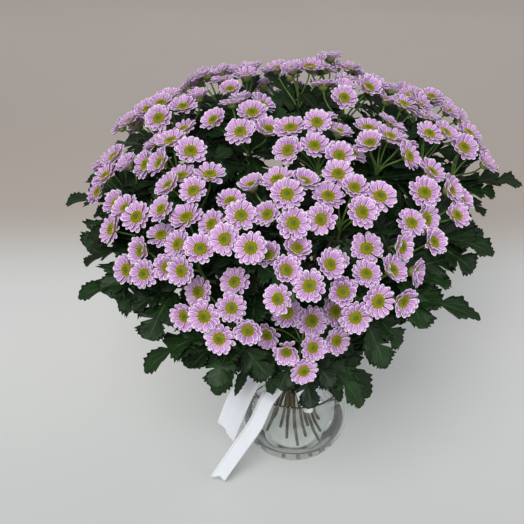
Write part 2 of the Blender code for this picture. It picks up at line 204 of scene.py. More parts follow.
def disc_material():
    """Tight florets. The eye sees a green heart, a gold rim, 0.7 mm specks of shade and floret
    tops painted lighter, as light falling on them from above.
    """
    mat, tree = new_material("chrysanthemum disc florets")
    rim = own_value(tree, "rim")
    height = own_value(tree, "floret")
    speckle = add_node(tree, "ShaderNodeTexNoise", {"Scale": 1400.0, "Detail": 2.0},
                       {0: add_node(tree, "ShaderNodeTexCoord").outputs["Object"]}).outputs[0]
    heart = blend_colours(tree, ramp_between(tree, rim, 0.25, 0.62), linear("#4a6404"),
                          linear("#8c9406"))
    golden = blend_colours(tree, ramp_between(tree, rim, 0.60, 0.95), heart, linear("#a08409"))
    # Painted light: the top of each floret is made lighter, as if lit from above.
    lit = blend_colours(tree, maths(tree, "MULTIPLY", height, 0.40), golden, linear("#b4ac12"))
    colour = blend_colours(tree, maths(tree, "MULTIPLY", speckle, 0.35), lit, linear("#303a06"))
    shader = add_node(tree, "ShaderNodeBsdfPrincipled",
                      {"Roughness": 0.6, "IOR": 1.4, "Subsurface Weight": 0.1,
                       "Subsurface Radius": (1.0, 0.8, 0.3), "Subsurface Scale": 0.001},
                      {"Base Color": colour})
    finish_material(tree, shader)
    return mat


def green_material(name, dark, light, grain, roughness):
    """Matt plant skin. The eye sees two colours mottled along it, and six fine ribs round it.
    The grain is in blotches to the metre: 90 gives one in 11 mm."""
    mat, tree = new_material(name)
    place = add_node(tree, "ShaderNodeTexCoord").outputs["Object"]
    mottle = add_node(tree, "ShaderNodeTexNoise", {"Scale": grain, "Detail": 4.0}, {0: place})
    _, across, _ = uv_axes(tree)
    ribs = maths(tree, "SINE", maths(tree, "MULTIPLY", across, TAU * STEM_RIBS))
    colour = blend_colours(tree, ramp_between(tree, mottle.outputs[0], 0.35, 0.65),
                           linear(dark), linear(light))
    bump = add_node(tree, "ShaderNodeBump", {"Strength": 0.5, "Distance": 0.0002},
                    {"Height": ribs})
    shader = add_node(tree, "ShaderNodeBsdfPrincipled",
                      {"Roughness": roughness, "IOR": 1.42, "Specular IOR Level": 0.4},
                      {"Base Color": colour, "Normal": bump.outputs[0]})
    finish_material(tree, shader)
    return mat


def leaf_material():
    """A slightly waxy blade. The eye sees a broad dull sheen, pale sunken veins, 6 mm mottling and
    a paler underside."""
    mat, tree = new_material("chrysanthemum leaf")
    _, across, along = uv_axes(tree)
    off_rib = maths(tree, "ABSOLUTE", maths(tree, "MULTIPLY_ADD", across, 2.0, -1.0))
    midrib = ramp_between(tree, maths(tree, "SUBTRACT", 1.0, off_rib), 0.93, 0.99)
    slant = maths(tree, "SUBTRACT", maths(tree, "MULTIPLY", along, LEAF_SIDE_VEINS),
                  maths(tree, "MULTIPLY", off_rib, 1.8))
    wave = maths(tree, "PINGPONG", slant, 0.5)
    side_veins = ramp_between(tree, maths(tree, "SUBTRACT", 0.5, wave), 0.43, 0.49)
    veins = maths(tree, "MAXIMUM", midrib, maths(tree, "MULTIPLY", side_veins, 0.6))
    place = add_node(tree, "ShaderNodeTexCoord").outputs["Object"]
    mottle = add_node(tree, "ShaderNodeTexNoise", {"Scale": 160.0, "Detail": 5.0}, {0: place})
    tone = own_value(tree, "tone")
    blade = blend_colours(tree, tone, linear("#0a1707"), linear("#1d3c14"))
    mottled = blend_colours(tree, maths(tree, "MULTIPLY", mottle.outputs[0], 0.5), blade,
                            linear("#101d0b"))
    veined = blend_colours(tree, maths(tree, "MULTIPLY", veins, 0.45), mottled,
                           linear("#48663a"))
    upper = own_value(tree, "upper")
    colour = blend_colours(tree, upper, linear("#3a5030"), veined)
    height = maths(tree, "SUBTRACT", maths(tree, "MULTIPLY", mottle.outputs[0], 0.4), veins)
    bump = add_node(tree, "ShaderNodeBump", {"Strength": 0.55, "Distance": 0.0006},
                    {"Height": height})
    shader = add_node(tree, "ShaderNodeBsdfPrincipled",
                      {"Roughness": 0.52, "IOR": 1.43, "Specular IOR Level": 0.30},
                      {"Base Color": colour, "Normal": bump.outputs[0]})
    finish_material(tree, shader)
    return mat


DISC = disc_material()
STALK = green_material("green flower stalk", "#4a6630", "#6d8a45", 90.0, 0.55)
STEM = green_material("woody green stem", "#453f2c", "#6a634c", 60.0, 0.6)
LEAF = leaf_material()
print("plant materials:", [m.name for m in (PETAL, DISC, STALK, STEM, LEAF)])

# %% [markdown]
# ## Where every flower stands
# The bouquet was planned on a dome: each stem bears one to three clumps, each clump faces away
# from the dome's middle, and its heads spread by the golden angle, as they do on a real plant.
# Heads that would touch push each other apart. The same rule gives the same places here, and the
# frame's own boxes then check them.

# %% The planting rule
DOME_MIDDLE = np.array([-0.010, 0.0, 0.450])
DOME_RADIUS, DOME_RISE, DOME_DROP = 0.226, 0.108, 0.160
HEAD_SPACING, CLUMP_STEP, CLUMP_BULGE = 0.0264, 0.0142, 0.080
FORK_DEPTH, FORK_LENGTH = 0.066, 0.024
HEAD_TILT, HEAD_SHIFT = 0.17, 0.0025
GOLDEN_ANGLE = math.radians(137.508)
# Each stem's clumps: the angle round the upright, the angle above level, and how many heads
STEMS = (
    ((-163, 22, 5), (-151, 46, 6)),
    ((-145, 13, 4), (-132, 2, 5), (-131, 38, 5)),
    ((174, 52, 6), (139, 65, 5)),
    ((-140, 71, 7), (-76, 66, 8), (82, 70, 5)),
    ((-120, 19, 4), (-109, 29, 5)),
    ((-97, 43, 6), (-76, 42, 6)),
    ((19, 72, 6), (0, 57, 3)),
    ((-39, 57, 6), (-12, 47, 4)),
    ((-6, 28, 5), (-44, 30, 6)),
    ((-60, 20, 3), (-71, 3, 9)),
    ((-91, 13, 6),),
    ((-112, -12, 7), (-87, -29, 8)),
    ((28, 31, 8), (50, 12, 8)),
    ((72, 46, 7), (96, 12, 9)),
    ((122, 32, 8), (150, 14, 8)),
)
CLUMPS = [clump for stem in STEMS for clump in stem]


def unit(vectors):
    """Vectors of length one, along the last axis."""
    return vectors / np.maximum(np.linalg.norm(vectors, axis=-1, keepdims=True), 1e-12)


def dome_point(azimuth, rise):
    """The dome's point at a direction and a height angle: an ellipse turned about the upright."""
    around, up = math.radians(azimuth), math.radians(rise)
    height = DOME_RISE if rise >= 0 else DOME_DROP
    flat = DOME_RADIUS * math.cos(up)
    return DOME_MIDDLE + np.array([flat * math.cos(around), flat * math.sin(around),
                                   height * math.sin(up)])


def direction(azimuth, rise):
    """The unit vector at an angle round the upright and an angle above level, in degrees."""
    around, lift = math.radians(azimuth), math.radians(rise)
    return np.array([math.cos(lift) * math.cos(around), math.cos(lift) * math.sin(around),
                     math.sin(lift)])


def facing(azimuth, rise):
    """The way a clump faces: well above level at the widest ring, straight up at the crown."""
    return direction(azimuth, 38 + 52 * (max(rise, 0) / 90) ** 0.9 + 0.3 * min(rise, 0))


def spread(points, gap, rounds=200):
    """Points pushed apart until none is nearer to another than the gap: in each round, a pair
    that is too close moves along the line between them by 0.3 of what is missing."""
    points = points.copy()
    for _ in range(rounds):
        between = points[:, None] - points[None, :]
        distance = np.linalg.norm(between, axis=2) + np.eye(len(points))
        push = np.clip(gap * 1.01 - distance, 0, None) * (1 - np.eye(len(points)))
        points += (between / distance[:, :, None] * push[:, :, None]).sum(axis=1) * 0.3
    return points


def lay_out_heads():
    """Every head's centre and the clump it is in, by the golden-angle rule in each clump."""
    centres, owners = [], []
    for index, (azimuth, rise, count) in enumerate(CLUMPS):
        normal = facing(azimuth, rise)
        side = unit(np.cross((0, 0, 1), normal))
        upward = np.cross(normal, side)
        k = np.arange(count)
        out, turn = CLUMP_STEP * np.sqrt(k + 0.5), k * GOLDEN_ANGLE + index
        lean = 0.004 * np.sin(2.3 * k + 1.7 * index)
        centres.append(dome_point(azimuth, rise)
                       + (out * np.cos(turn))[:, None] * side
                       + (out * np.sin(turn))[:, None] * upward
                       + (lean - out * out / (2 * CLUMP_BULGE))[:, None] * normal)
        owners += [index] * count
    return spread(np.concatenate(centres), HEAD_SPACING), np.array(owners)


HEADS, OWNERS = lay_out_heads()
WAYS = np.array([facing(azimuth, rise) for azimuth, rise, _ in CLUMPS])
MIDDLES = np.array([HEADS[OWNERS == index].mean(axis=0) for index in range(len(CLUMPS))])
AXES = unit(WAYS[OWNERS] + (HEADS - MIDDLES[OWNERS]) / CLUMP_BULGE)
FORK_WAYS = unit(WAYS + np.array([0, 0, 0.55]))
FORKS = MIDDLES - FORK_WAYS * FORK_DEPTH
offsets = []
for index in range(len(CLUMPS)):
    low, high = (np.array(corner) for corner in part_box(f"blooms_{index + 1:02d}"))
    mine = HEADS[OWNERS == index]
    offsets.append(max(np.clip(low - mine, 0, None).max(), np.clip(mine - high, 0, None).max()))
AXES = unit(AXES + rng.normal(0, HEAD_TILT, AXES.shape))
HEADS = HEADS + AXES * rng.uniform(-HEAD_SHIFT, HEAD_SHIFT, len(HEADS))[:, None]
print(len(HEADS), "heads in", len(CLUMPS), "clumps; outside its box by at most", max(offsets))

# %% [markdown]
# ## From arrays to a mesh
# A petal, a leaf and a stem are all the same thing: a closed ring of points carried along a path,
# with both ends drawn to a point. So one function takes many such bodies at once, as an array of
# (body, ring, point round the ring), and makes one closed mesh of them with its UV map. Each piece
# could also be modelled by hand, but more than sixteen thousand petals and florets rule that out.

# %% Mesh helpers
def ring_faces(bodies, rings, sides):
    """Faces of closed bodies: quads between rings, and triangles to a pole at each end. Point s
    of ring r has the number r times the sides plus s, and the two poles come last."""
    per_body = rings * sides + 2
    r, s = np.meshgrid(np.arange(rings - 1), np.arange(sides), indexing="ij")
    a, b = r * sides + s, r * sides + (s + 1) % sides
    quads = np.stack([a, b, b + sides, a + sides], axis=-1).reshape(-1, 4)
    s = np.arange(sides)
    last = (rings - 1) * sides
    start = np.stack([np.full(sides, rings * sides), (s + 1) % sides, s], axis=-1)
    end = np.stack([np.full(sides, rings * sides + 1), last + s, last + (s + 1) % sides], axis=-1)
    triangles = np.concatenate([start, end])
    shift = (np.arange(bodies) * per_body)[:, None, None]
    return (quads[None] + shift).reshape(-1, 4), (triangles[None] + shift).reshape(-1, 3)


def closed_bodies(grid, start, end):
    """The points of many closed bodies: each one's rings, then its two poles."""
    bodies, rings, sides, _ = grid.shape
    flat = grid.reshape(bodies, rings * sides, 3)
    return np.concatenate([flat, start[:, None], end[:, None]], axis=1).reshape(-1, 3)


def make_piece(name, grid, start, end, material, replaced, uv=None, values=None):
    """One mesh object at the origin, riding on the CAD's body, from closed bodies: their rings,
    a pole at each end, one body's UV map and a list of values at every point."""
    quads, triangles = ring_faces(*grid.shape[:3])
    points = closed_bodies(grid, start, end)
    mesh = bpy.data.meshes.new(name)
    loops = np.concatenate([quads.ravel(), triangles.ravel()]).astype(np.int32)
    starts = np.concatenate([np.arange(len(quads)) * 4,
                             len(quads) * 4 + np.arange(len(triangles)) * 3]).astype(np.int32)
    mesh.vertices.add(len(points))
    mesh.vertices.foreach_set("co", points.astype(np.float32).ravel())
    mesh.loops.add(len(loops))
    mesh.loops.foreach_set("vertex_index", loops)
    mesh.polygons.add(len(starts))
    mesh.polygons.foreach_set("loop_start", starts)
    mesh.update(calc_edges=True)
    mesh.shade_smooth()
    if uv is not None:
        layer = mesh.uv_layers.new(name="surface")
        layer.data.foreach_set("uv", np.tile(uv, (len(grid), 1))[loops].astype(np.float32).ravel())
    for key, numbers in (values or {}).items():
        attribute = mesh.attributes.new(key, "FLOAT", "POINT")
        attribute.data.foreach_set("value", numbers.astype(np.float32))
    mesh.validate()
    mesh.materials.append(material)
    piece = bpy.data.objects.new(name, mesh)
    scene.collection.objects.link(piece)
    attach(piece, "root")
    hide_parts(*replaced)
    return piece


def frames_from(axes):
    """For each axis, two more directions square to it: one level, the cross product of the
    upright and the axis, and one near upright, the cross product of the axis and that."""
    level = np.cross(np.array([0.0, 0.0, 1.0]), axes)
    short = np.linalg.norm(level, axis=-1) < 0.05
    level[short] = np.cross(np.array([0.0, 1.0, 0.0]), axes[short])
    level = unit(level)
    return level, np.cross(axes, level)


print("a cube from the same rule has", sum(len(f) for f in ring_faces(1, 2, 4)), "faces")

# %% [markdown]
# ## Ray petals
# Each head has an outer row of petals that lie open, and a second row that stands steeper between
# them. A petal could be one modelled by hand and copied, but then no two would differ. Here every
# petal has its own row of numbers. It leaves the head at an angle and curves as it goes, so its
# middle line is an arc. It is narrow where it starts, broad near its end and round at the tip,
# and it is channelled, with its edges raised. Some flowers are wide open and some, mostly round
# the edge of a clump, are still cups.

# %% Petals as arrays
DISC_RADIUS = 0.0068
PETAL_RINGS = 7
PETAL_THICKNESS = 0.00045
HALF_SHUT, SHUT_SHARE, SHUT_RISE, SHUT_CURL = 0.5, 0.22, 0.95, 0.35
CLUMP_REACH = 0.040
WIDEST, ROUND_FROM, NARROW = 0.62, 0.74, 0.40
CHANNEL, CHANNEL_RIPPLE = 0.42, 0.10
# Each row of petals: how many, where they start and how high, their length and half width in
# metres, their angle above level in degrees, and their curve in radians
PETAL_ROWS = (
    (15, 0.0062, -0.0012, 0.0118, 0.00300, 12, 0.10),
    (12, 0.0060, 0.0000, 0.0103, 0.00275, 36, -0.25),
)


def petal_rows(count_heads):
    """Every petal's own numbers: its head, turn, start, length, half width, angle and curve."""
    rows = []
    for share, (count, start, height, length, width, angle, curve) in enumerate(PETAL_ROWS):
        head = np.repeat(np.arange(count_heads), count)
        k = np.tile(np.arange(count), count_heads)
        turn = TAU * (k + 0.5 * share) / count + 2.1 * head + rng.normal(0, 0.045, len(head))
        n = len(head)
        rows.append(np.stack([
            head, turn, np.full(n, start), np.full(n, height),
            length * rng.uniform(0.90, 1.06, n), width * rng.uniform(0.88, 1.10, n),
            np.radians(angle + rng.normal(0, 6, n)), curve + rng.normal(0, 0.14, n),
            rng.normal(0, 0.16, n)], axis=1))
    return np.concatenate(rows)


OPENNESS = np.clip(rng.normal(0.86, 0.13, len(HEADS)), 0.45, 1.0)
OPENNESS = np.where(rng.random(len(HEADS)) < SHUT_SHARE, OPENNESS * HALF_SHUT, OPENNESS)
edge_of_clump = np.linalg.norm(HEADS - MIDDLES[OWNERS], axis=1) / CLUMP_REACH
OPENNESS = np.clip(OPENNESS - 0.2 * np.clip(edge_of_clump - 0.7, 0, 1), 0.22, 1.0)
HEAD_SIZE = rng.uniform(0.87, 1.02, len(HEADS))
HEAD_TONE = np.clip(rng.normal(0.5, 0.22, len(HEADS)), 0, 1)
HEAD_SIDE, HEAD_UP = frames_from(AXES)


def petal_grid(rows):
    """Petals as closed rings. Along a petal the middle line is an arc, so the distance out is the
    length times the change of the sine of its slope over its curve, and the rise takes the cosine.
    The half width grows to two thirds of the way and ends in a quarter circle. Across it the
    section is a lens on a shallow channel."""
    head, turn, start, height, length, half, angle, curve, roll = rows.T
    head = head.astype(int)
    closed = 1 - OPENNESS[head]
    angle = angle + closed * SHUT_RISE
    curve = curve - closed * SHUT_CURL
    curve = np.where(np.abs(curve) < 0.02, 0.02, curve)[:, None]
    v = np.array([[0.0, 0.22, 0.45, 0.68, 0.83, 0.93, 0.985]])
    bend = angle[:, None] + curve * v
    size = HEAD_SIZE[head][:, None]
    out = start[:, None] + length[:, None] * (np.sin(bend) - np.sin(angle)[:, None]) / curve
    up = height[:, None] - length[:, None] * (np.cos(bend) - np.cos(angle)[:, None]) / curve
    past = np.clip(v - ROUND_FROM, 0, None) / (1 - ROUND_FROM)
    rounded = np.sqrt(np.clip(1 - past ** 2, 0.02, 1))
    widening = NARROW + (1 - NARROW) * np.clip(v / WIDEST, 0, 1) ** 1.3
    width = half[:, None] * widening * rounded
    across = np.array([1.0, 0.55, 0.0, -0.55, -1.0, -0.55, 0.0, 0.55])
    above = np.array([0.0, 1.0, 1.0, 1.0, 0.0, -1.0, -1.0, -1.0])
    body = np.sqrt(1 - across ** 2 * 0.8)
    channel = (CHANNEL * across ** 2 - CHANNEL_RIPPLE * np.cos(TAU * across)) * width[:, :, None]
    raised = channel + 0.5 * PETAL_THICKNESS * above * body
    lateral = across * width[:, :, None]
    tilt = roll[:, None, None]
    lateral, raised = (lateral * np.cos(tilt) - raised * np.sin(tilt),
                       lateral * np.sin(tilt) + raised * np.cos(tilt))
    radial = (out[:, :, None] - raised * np.sin(bend)[:, :, None]) * size[:, :, None]
    rise = (up[:, :, None] + raised * np.cos(bend)[:, :, None]) * size[:, :, None]
    lateral = lateral * size[:, :, None]
    cos, sin = np.cos(turn)[:, None, None], np.sin(turn)[:, None, None]
    x, y = radial * cos - lateral * sin, radial * sin + lateral * cos
    centre, side = HEADS[head][:, None, None], HEAD_SIDE[head][:, None, None]
    up_way, axis = HEAD_UP[head][:, None, None], AXES[head][:, None, None]
    grid = centre + x[..., None] * side + y[..., None] * up_way + rise[..., None] * axis
    return grid, v, across, above


petals = petal_rows(len(HEADS))
print(len(petals), "petals,", round(len(petals) / len(HEADS), 1), "to a head")

# %% [markdown]
# ## Petals on every clump
# A flower head is tied to its clump, so the petals of one clump make one piece, and it replaces
# the clump's plain solid in the frame. Each petal also stores two numbers for its material: how
# pale its own flower is, and which of its faces look up.

# %% Petals on every clump
def clump_pieces(kind, grid, owner, material, uv, values, poles):
    """One piece for each clump from the bodies that belong to its heads."""
    bodies, rings, sides, _ = grid.shape
    made = []
    for index in range(len(CLUMPS)):
        mine = np.flatnonzero(owner == index)
        own = {key: np.broadcast_to(value, (bodies, rings * sides + 2))[mine].ravel()
               for key, value in values.items()}
        made.append(make_piece(f"{kind}_{index + 1:02d}", grid[mine], poles[0][mine],
                               poles[1][mine], material, [f"blooms_{index + 1:02d}"],
                               uv, own))
    return made


def ring_uv(v, u):
    """The UV map of one closed body: u round each ring, v along it, and its poles at the ends."""
    rings = np.stack(np.broadcast_arrays(u[None, :], v[:, None]), axis=-1).reshape(-1, 2)
    return np.concatenate([rings, [[0.5, 0.0], [0.5, 1.0]]])


grid, along, across, above = petal_grid(petals)
uv = ring_uv(along[0], (across + 1) / 2)
upper = np.append(np.tile((above >= 0).astype(float), PETAL_RINGS), (1.0, 1.0))
petal_head = petals[:, 0].astype(int)
petal_tone = np.clip(HEAD_TONE[petal_head] + rng.normal(0, 0.12, len(petals)), 0, 1)
ends = (grid[:, 0].mean(axis=1), grid[:, -1].mean(axis=1)
        + 0.35 * (grid[:, -1].mean(axis=1) - grid[:, -2].mean(axis=1)))
PETAL_PIECES = clump_pieces("petals", grid, OWNERS[petal_head], PETAL, uv,
                            {"upper": upper[None], "tone": petal_tone[:, None]}, ends)
print(len(PETAL_PIECES), "petal pieces, the largest with",
      max(len(p.data.polygons) for p in PETAL_PIECES), "faces")

# %% [markdown]
# ## Discs
# The florets of a disc sit on a low dome in the same golden-angle spiral as seeds in a sunflower.
# Each is a tiny closed bud with five sides. The outer ones have opened, so they stand a little
# taller and wider. A plain dome below them closes the gaps.

# %% Disc florets
FLORETS, FLORET_SIDES = 60, 5
DOME_RINGS, DOME_SIDES = 5, 12
DOME_EDGE, DOME_BULGE = 0.0004, 0.0024
k = np.arange(FLORETS)
floret_share = np.sqrt((k + 0.5) / FLORETS)
floret_turn = k * GOLDEN_ANGLE
open_floret = np.clip((floret_share - 0.55) / 0.35, 0, 1)


def disc_dome(share):
    """Height of the disc's dome at a share of its radius: a parabola."""
    return DOME_EDGE + DOME_BULGE * (1 - share ** 2)


def floret_grid():
    """Each head's florets: two five-sided rings, wider at the top on the open ones. Floret k is
    at the golden angle times k, and out by the square root of its share of the count."""
    heads = len(HEADS)
    size = HEAD_SIZE[:, None, None, None]
    angle = TAU * np.arange(FLORET_SIDES) / FLORET_SIDES
    radius = np.stack([np.full(FLORETS, 0.00052), 0.00058 + 0.00026 * open_floret])
    height = np.stack([disc_dome(floret_share) - 0.0006,
                       disc_dome(floret_share) + 0.0006 + 0.0009 * open_floret])
    jitter = rng.normal(0, 0.00012, (heads, FLORETS, 1, 1))
    x = DISC_RADIUS * (floret_share * np.cos(floret_turn))[:, None, None] \
        + radius.T[:, :, None] * np.cos(angle)
    y = DISC_RADIUS * (floret_share * np.sin(floret_turn))[:, None, None] \
        + radius.T[:, :, None] * np.sin(angle)
    z = np.repeat(height.T[:, :, None], FLORET_SIDES, axis=2)
    x, y = (x[None] + jitter) * size, (y[None] - jitter) * size
    z = (z[None] + np.abs(jitter)) * size
    return place_on_heads(x, y, z)


def place_on_heads(x, y, z):
    """Points given in each head's own frame, put where the head is."""
    extra = (slice(None),) + (None,) * (x.ndim - 1)
    return (HEADS[extra] + x[..., None] * HEAD_SIDE[extra] + y[..., None] * HEAD_UP[extra]
            + z[..., None] * AXES[extra])


florets = floret_grid().reshape(-1, 2, FLORET_SIDES, 3)
floret_head = np.repeat(np.arange(len(HEADS)), FLORETS)
top = florets[:, 1].mean(axis=1) + AXES[floret_head] * 0.00045
bottom = florets[:, 0].mean(axis=1)
rim = np.tile(floret_share, len(HEADS))
# A value that paints each floret's top lighter than its foot, as light from above.
lift = np.array([0.0] * FLORET_SIDES + [0.8] * FLORET_SIDES + [0.0, 1.0])
DISC_PIECES = clump_pieces("disc_florets", florets, OWNERS[floret_head], DISC,
                           ring_uv(np.array([0.0, 1.0]), np.arange(FLORET_SIDES) / FLORET_SIDES),
                           {"rim": rim[:, None], "floret": lift[None]}, (bottom, top))

dome_share = np.array([0.2, 0.9, 1.0, 0.8, 0.35])
dome_height = np.array([-0.0030, -0.0030, 0.0002, disc_dome(0.8) - 0.0002,
                        disc_dome(0.35) - 0.0002])
angle = TAU * np.arange(DOME_SIDES) / DOME_SIDES
x = (DISC_RADIUS * dome_share[:, None] * np.cos(angle))[None] * HEAD_SIZE[:, None, None]
y = (DISC_RADIUS * dome_share[:, None] * np.sin(angle))[None] * HEAD_SIZE[:, None, None]
z = np.broadcast_to(dome_height[:, None], x.shape[1:])[None] * HEAD_SIZE[:, None, None]
domes = place_on_heads(x, y, z)
dome_poles = (domes[:, 0].mean(axis=1), domes[:, -1].mean(axis=1) + AXES * 0.0003)
dome_rim = np.append(np.repeat(dome_share, DOME_SIDES), (0.0, 0.0))
clump_pieces("disc_bases", domes, OWNERS, DISC,
             ring_uv(np.linspace(0, 1, DOME_RINGS), np.arange(DOME_SIDES) / DOME_SIDES),
             {"rim": dome_rim[None], "floret": np.zeros((1, len(dome_rim)))}, dome_poles)
print(len(florets), "florets in", len(DISC_PIECES), "pieces")

# %% [markdown]
# ## Stalks and green cups
# A head sits in a shallow cup of green bracts on a thin stalk. The stalk leaves the clump's fork
# along its way, and bends until it meets the head square to its back, so it is a cubic curve with
# those two directions at its ends. The cup is the stalk's last rings, opened out.

# %% Tubes along curves
def tube_grid(paths, radii, sides, ribs=0.0, rib_count=5):
    """Rings square to each path: (tube, ring, side). A point is the path's, plus the radius times
    the cosine of its angle one way and the sine the other. Ribs swell the radius as a cosine."""
    tangents = unit(np.gradient(paths, axis=1))
    level, _ = frames_from(unit(paths[:, -1] - paths[:, 0]))
    side = level[:, None] - (level[:, None] * tangents).sum(-1, keepdims=True) * tangents
    side = unit(side)
    other = np.cross(tangents, side)
    angle = TAU * np.arange(sides) / sides
    radius = radii[..., None, None] * (1 + ribs * np.cos(rib_count * angle))[:, None]
    return (paths[:, :, None] + radius * (np.cos(angle)[:, None] * side[:, :, None]
                                          + np.sin(angle)[:, None] * other[:, :, None]))


def cubic(start, leave, arrive, end, steps):
    """Cubic curves from start to end, leaving and arriving along the given vectors: a mean of
    four points, weighted by the terms of (1 - t) plus t, cubed."""
    t = np.linspace(0, 1, steps)[None, :, None]
    first, second = (start + leave)[:, None], (end - arrive)[:, None]
    start, end = start[:, None], end[:, None]
    return ((1 - t) ** 3 * start + 3 * t * (1 - t) ** 2 * first
            + 3 * t * t * (1 - t) * second + t ** 3 * end)


def tube_piece(name, paths, radii, sides, material, replaced, ribs=0.0):
    """One piece of closed tubes, with its UV map round and along each."""
    grid = tube_grid(paths, radii, sides, ribs)
    uv = ring_uv(np.linspace(0, 1, grid.shape[1]), np.arange(sides) / sides)
    make_piece(name, grid, paths[:, 0], paths[:, -1], material, replaced, uv)


print("a stalk of 8 rings and 10 sides has", sum(len(f) for f in ring_faces(1, 8, 10)), "faces")

# %% [markdown]
# ## Stalks on every clump
# The stalks leave their fork one above another, in the order of the spiral, as side branches do
# on a real spray. Each clump gets one piece of stalks with their cups, and one of the fork itself.

# %% Stalks and cups
CUP_BACK = 0.0071
FIRST_STALK, STALK_RUN, STALK_LEAD = 0.94, 0.8, 0.38
STALK_STEPS, FORK_STEPS, STALK_SIDES = 8, 5, 10
STALK_RIBBING, FORK_RIBBING = 0.03, 0.04
cup_radius = np.array([0.0016, 0.0040, 0.0058, 0.0064, 0.0056])
cup_height = np.array([0.0004, 0.0012, 0.0030, 0.0052, 0.0062])
BASES = HEADS - AXES * CUP_BACK
orders = np.concatenate([np.arange(count) / count for _, _, count in CLUMPS])
heights = FORK_LENGTH * (FIRST_STALK - STALK_RUN * orders)
starts = FORKS[OWNERS] + FORK_WAYS[OWNERS] * heights[:, None]
reach = np.linalg.norm(BASES - starts, axis=1)[:, None] * STALK_LEAD
stalk_paths = cubic(starts, FORK_WAYS[OWNERS] * reach, AXES * reach, BASES, STALK_STEPS)
cup_paths = BASES[:, None] + AXES[:, None] * cup_height[None, :, None]
paths = np.concatenate([stalk_paths, cup_paths], axis=1)
thin = np.broadcast_to(np.linspace(0.00105, 0.00095, STALK_STEPS), (len(HEADS), STALK_STEPS))
radii = np.concatenate([thin, cup_radius * HEAD_SIZE[:, None]], axis=1)
for index in range(len(CLUMPS)):
    mine = OWNERS == index
    tube_piece(f"stalks_{index + 1:02d}", paths[mine], radii[mine], STALK_SIDES, STALK,
               [f"blooms_{index + 1:02d}"], STALK_RIBBING)
t = np.linspace(0, 1, FORK_STEPS)[None, :, None]
fork_paths = FORKS[:, None] + FORK_WAYS[:, None] * FORK_LENGTH * t
fork_radii = np.linspace(0.0020, 0.0013, FORK_STEPS)[None]
for index in range(len(CLUMPS)):
    tube_piece(f"fork_{index + 1:02d}", fork_paths[index:index + 1], fork_radii, STALK_SIDES,
               STALK, [f"blooms_{index + 1:02d}"], FORK_RIBBING)
print("stalks from", *(round(float(f(reach) / STALK_LEAD * 1000)) for f in (np.min, np.max)),
      "mm long, shortest and longest")

# %% [markdown]
# ## Stems through the tie and into the water
# Below the tie the stems fan out again with a twist, as they do in a bouquet that was turned in
# the hand while it was made. Each runs from its cut end near the bowl's wall, through the tie, to
# its highest clump, and its side shoots leave it on the way. Cut stems of this plant are ribbed
# and woody, green above and browner in the water.

# %% Stems and shoots
GAP = 0.0004
TIE_HEIGHT, STEM_RADIUS, STEM_SPACING, TIE_SPREAD = 0.148, 0.0022, 0.0052, 0.010
FAN_BELOW, FAN_TWIST = 4.0, math.radians(65)
FORK_RADIUS = 0.0022
BOWL_RADIUS, BOWL_MIDDLE, WALL, FLOOR = 0.078, 0.070, 0.003, 0.008
FOOT_LIFT = 0.013
MAIN_LEAD, SHOOT_LEAD = np.array([0.42, 0.42, 0.62]), np.array([0.45, 0.45, 0.62])
LOWER_STEPS, UPPER_STEPS, SHOOT_STEPS, SHOOT_START = 8, 25, 17, 8
STEM_SIDES, SHOOT_SIDES, STEM_RIBBING, SHOOT_RIBBING = 12, 10, 0.07, 0.06


def bend(start, middle, end, steps):
    """A smooth bend: a quadratic curve from start to end, drawn towards middle."""
    t = np.linspace(0, 1, steps)[:, None]
    return (1 - t) ** 2 * start + 2 * t * (1 - t) * middle + t ** 2 * end


def shoot_end(start, fork):
    """A shoot's last point, just short of the clump's own stalk."""
    return fork - unit(fork - start) * (FORK_RADIUS + GAP)


def stem_routes():
    """Each stem's route from its cut end to its highest clump, and its side shoots' routes."""
    firsts = np.cumsum([0] + [len(stem) for stem in STEMS[:-1]])
    groups = [FORKS[first:first + len(stem)] for first, stem in zip(firsts, STEMS)]
    aims = np.array([group.mean(axis=0) for group in groups])
    slopes = aims[:, :2] / (aims[:, 2:] - TIE_HEIGHT)
    tied = spread(slopes * TIE_SPREAD, STEM_SPACING, 600)
    turn = np.array([[math.cos(FAN_TWIST), -math.sin(FAN_TWIST)],
                     [math.sin(FAN_TWIST), math.cos(FAN_TWIST)]])
    feet = tied @ turn.T * FAN_BELOW
    routes = []
    for flat, foot, group in zip(tied, feet, groups):
        radius, out = BOWL_RADIUS - WALL, np.linalg.norm(foot)
        low = max(FLOOR, BOWL_MIDDLE - math.sqrt(radius ** 2 - out ** 2)) + FOOT_LIFT
        tie, cut = np.array([*flat, TIE_HEIGHT]), np.array([*foot, low])
        highest = int(np.argmax(group[:, 2]))
        main = group[highest]
        middle = tie + (main - tie) * MAIN_LEAD
        upper = bend(tie, middle, shoot_end(middle, main), UPPER_STEPS)
        lower = cut + (tie - cut) * np.linspace(0, 1, LOWER_STEPS + 1)[:-1, None]
        shoots = []
        for fork in np.delete(group, highest, axis=0):
            start = upper[SHOOT_START]
            lead = start + (fork - start) * SHOOT_LEAD
            shoots.append(bend(start, lead, shoot_end(lead, fork), SHOOT_STEPS))
        routes.append((np.concatenate([lower, upper]), shoots))
    return routes


ROUTES = stem_routes()
for index, (path, shoots) in enumerate(ROUTES):
    name = f"stem_{index + 1:02d}"
    radii = np.linspace(1.0, 0.72, len(path)) * STEM_RADIUS
    radii[0] *= 0.96
    tube_piece(f"stalk_main_{index + 1:02d}", path[None], radii[None], STEM_SIDES, STEM,
               [name], STEM_RIBBING)
    if shoots:
        radii = np.linspace(0.8, 0.62, SHOOT_STEPS) * STEM_RADIUS
        tube_piece(f"side_shoots_{index + 1:02d}", np.array(shoots),
                   np.broadcast_to(radii, (len(shoots), SHOOT_STEPS)), SHOOT_SIDES, STEM,
                   [name], SHOOT_RIBBING)
print(len(ROUTES), "stems; cut ends between",
      [round(float(f([path[0][2] for path, _ in ROUTES])), 4) for f in (min, max)])

